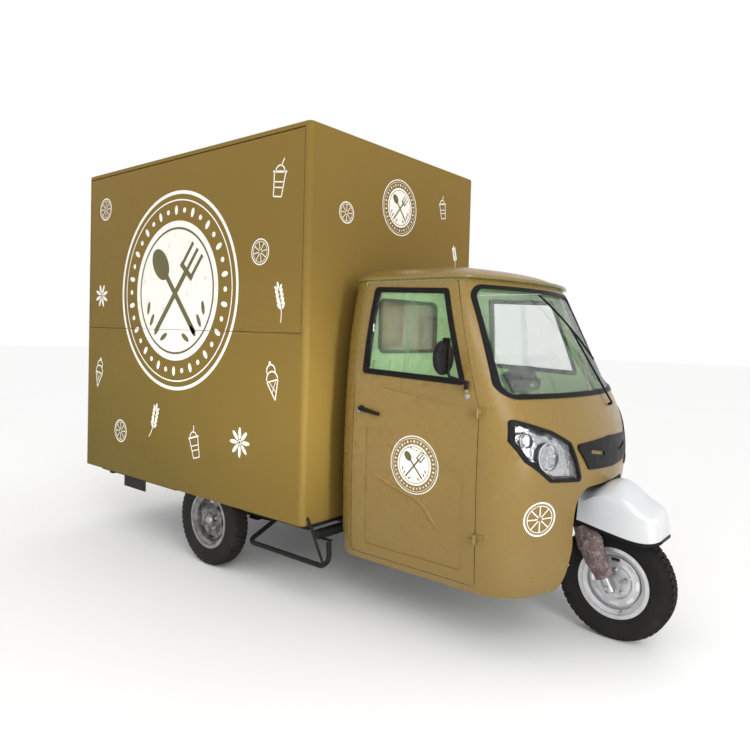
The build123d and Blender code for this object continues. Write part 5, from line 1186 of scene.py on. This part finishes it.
SIDE_Y = -0.7825
SEAM_LOW = 1.3950
SEAM_HIGH = 1.3980
SIDE_BADGE = (-0.809, SIDE_Y, 1.636)
SIDE_BADGE_SIZE = 0.615
# Motif, place along and up, size and turn
SIDE_ICONS = [
    (cup_motif, 0.12, 2.20, 0.105, -8), (slice_motif, -0.02, 1.83, 0.080, 10),
    (wheat_motif, 0.15, 1.55, 0.100, 12), (cone_motif, 0.10, 1.14, 0.110, 14),
    (star_motif, -0.16, 0.78, 0.100, 0), (cup_motif, -0.58, 0.72, 0.100, 16),
    (wheat_motif, -1.02, 0.80, 0.110, -18), (slice_motif, -1.42, 0.70, 0.085, 0),
    (cone_motif, -1.72, 1.08, 0.110, -12), (star_motif, -1.70, 1.62, 0.095, 20),
    (slice_motif, -1.66, 2.22, 0.085, 0),
]
FRONT_X = 0.3445
FRONT_ICONS = [
    (cup_motif, 0.42, 2.22, 0.075, 10), (slice_motif, -0.50, 2.05, 0.065, 0),
    (wheat_motif, 0.58, 1.92, 0.070, 14),
]
AHEAD, LEFTWARD = (1, 0, 0), (0, 1, 0)
CURVED_FINE = 0.012


def side_print(name, node, body, edge, keep):
    """The serving side's prints on one panel, cut off at that panel's edge."""
    form = rosette()
    form.transform(Matrix.Diagonal((SIDE_BADGE_SIZE, SIDE_BADGE_SIZE, 1, 1)))
    form.transform(Matrix.Translation(SIDE_BADGE) @ Matrix.Rotation(pi / 2, 4, "X"))
    cut_off(form, (0, 0, edge), (0, 0, keep))
    surface, _ = seat_on(node, (SIDE_BADGE[0], SIDE_Y - 0.5, edge + keep * 0.2), (0, 1, 0))
    bmesh.ops.translate(form, vec=(0, surface.y - SIDE_Y - PRINT_LIFT, 0), verts=form.verts)
    for motif, x, z, size, turn in SIDE_ICONS:
        if (z - edge) * keep > 0:
            joined(form, laid(motif(), [node], (x, SIDE_Y, z), AHEAD, size, turn))
    piece(name, form, [print_white, print_olive], body, 180)


def badge_print(name, surfaces, centre, right, size, body, fine):
    """One rosette pressed onto a panel."""
    form = laid(rosette(), surfaces, centre, right, size, fine=fine)
    piece(name, form, [print_white, print_olive], body, 180)


side_print("print_hatch", "serving_hatch", "hatch", SEAM_HIGH, 1)
side_print("print_side", "box_lower_side", "truck", SEAM_LOW, -1)
badge_print("print_front_wall", ["box_front_wall"], (FRONT_X, -0.032, 2.151), LEFTWARD, 0.165, "truck", 0.0)
door_badge = (0.941, -0.660, 0.800)
badge_print("print_right_door", ["right_door"], door_badge, AHEAD, 0.137, "right_door", CURVED_FINE)
front_icons = bmesh.new()
for motif, y, z, size, turn in FRONT_ICONS:
    joined(front_icons, laid(motif(), ["box_front_wall"], (FRONT_X, y, z), LEFTWARD, size, turn))
piece("print_front_icons", front_icons, print_white, "truck", 180)
nose_place, nose_right = (1.5045, -0.500, 0.627), (0.80, 0.60, 0)
nose_icon = laid(slice_motif(), ["cab_front"], nose_place, nose_right, 0.085, fine=CURVED_FINE)
piece("print_nose", nose_icon, print_white, "truck", 180)


# Studio: pale floor, soft light and the camera

FLOOR_HALF = 40
# Name, place, aim, size, power and fan of each lamp
LAMPS = [
    ("key_light", (5.0, -4.5, 4.6), (0.6, 0, 1.0), 3.2, 130, 180),
    ("side_light", (-2.5, -6.0, 3.4), (-0.6, 0, 1.2), 3.5, 14, 180),
    ("front_light", (5.6, -2.2, 1.6), (0.35, -0.72, 1.2), 1.8, 60, 180),
    ("wall_light", (5.2, -2.3, 1.3), (0.35, -0.95, 1.0), 0.8, 4, 16),
    ("cab_light", (0.98, 0, 1.52), (0.45, 0, 1.25), 0.3, 3, 180),
]
CAMERA_PLACE = (2.6992, -3.1003, 1.4098)
CAMERA_YAW, CAMERA_PITCH, CAMERA_ROLL = 0.68714, 0.02539, 0.02581
LENS_WIDTH = 36
LENS_LENGTH = 31.217
LENS_SHIFT = -0.0343


def pale_floor():
    """A wide pale floor."""
    form = bmesh.new()
    bmesh.ops.create_grid(form, x_segments=1, y_segments=1, size=FLOOR_HALF)
    mesh = as_mesh("floor", form)
    made, tree = finish("floor_paint", 0.7)
    mesh.materials.append(dressed(made, mixed(tree, cloud(tree, 0.8), FLOOR_WHITE, FLOOR_PALE)))
    in_scene("floor", mesh)


def surround():
    """An even white surround and the soft lamps, each with light that fans out by some degrees."""
    world = bpy.data.worlds.new("surround")
    world.use_nodes = True
    sky = world.node_tree.nodes["Background"].inputs
    sky["Color"].default_value = (1.0, 1.0, 1.0, 1)
    sky["Strength"].default_value = 1.0
    bpy.context.scene.world = world
    bpy.context.scene.view_settings.view_transform = "Standard"
    for name, place, aim, size, power, fan in LAMPS:
        lamp = bpy.data.lights.new(name, "AREA")
        lamp.energy = power
        lamp.size = size
        lamp.spread = radians(fan)
        in_scene(name, lamp).matrix_world = facing(Vector(place), Vector(place) - Vector(aim))


def camera():
    """The camera at the photograph's viewing angle."""
    lens = bpy.data.cameras.new("camera")
    lens.sensor_width = LENS_WIDTH
    lens.lens = LENS_LENGTH
    lens.shift_y = LENS_SHIFT
    made = in_scene("camera", lens)
    turn = Matrix.Rotation(CAMERA_YAW, 4, "Z") @ Matrix.Rotation(pi / 2 - CAMERA_PITCH, 4, "X")
    made.matrix_world = Matrix.Translation(CAMERA_PLACE) @ turn @ Matrix.Rotation(CAMERA_ROLL, 4, "Z")
    bpy.context.scene.camera = made


pale_floor()
surround()
camera()
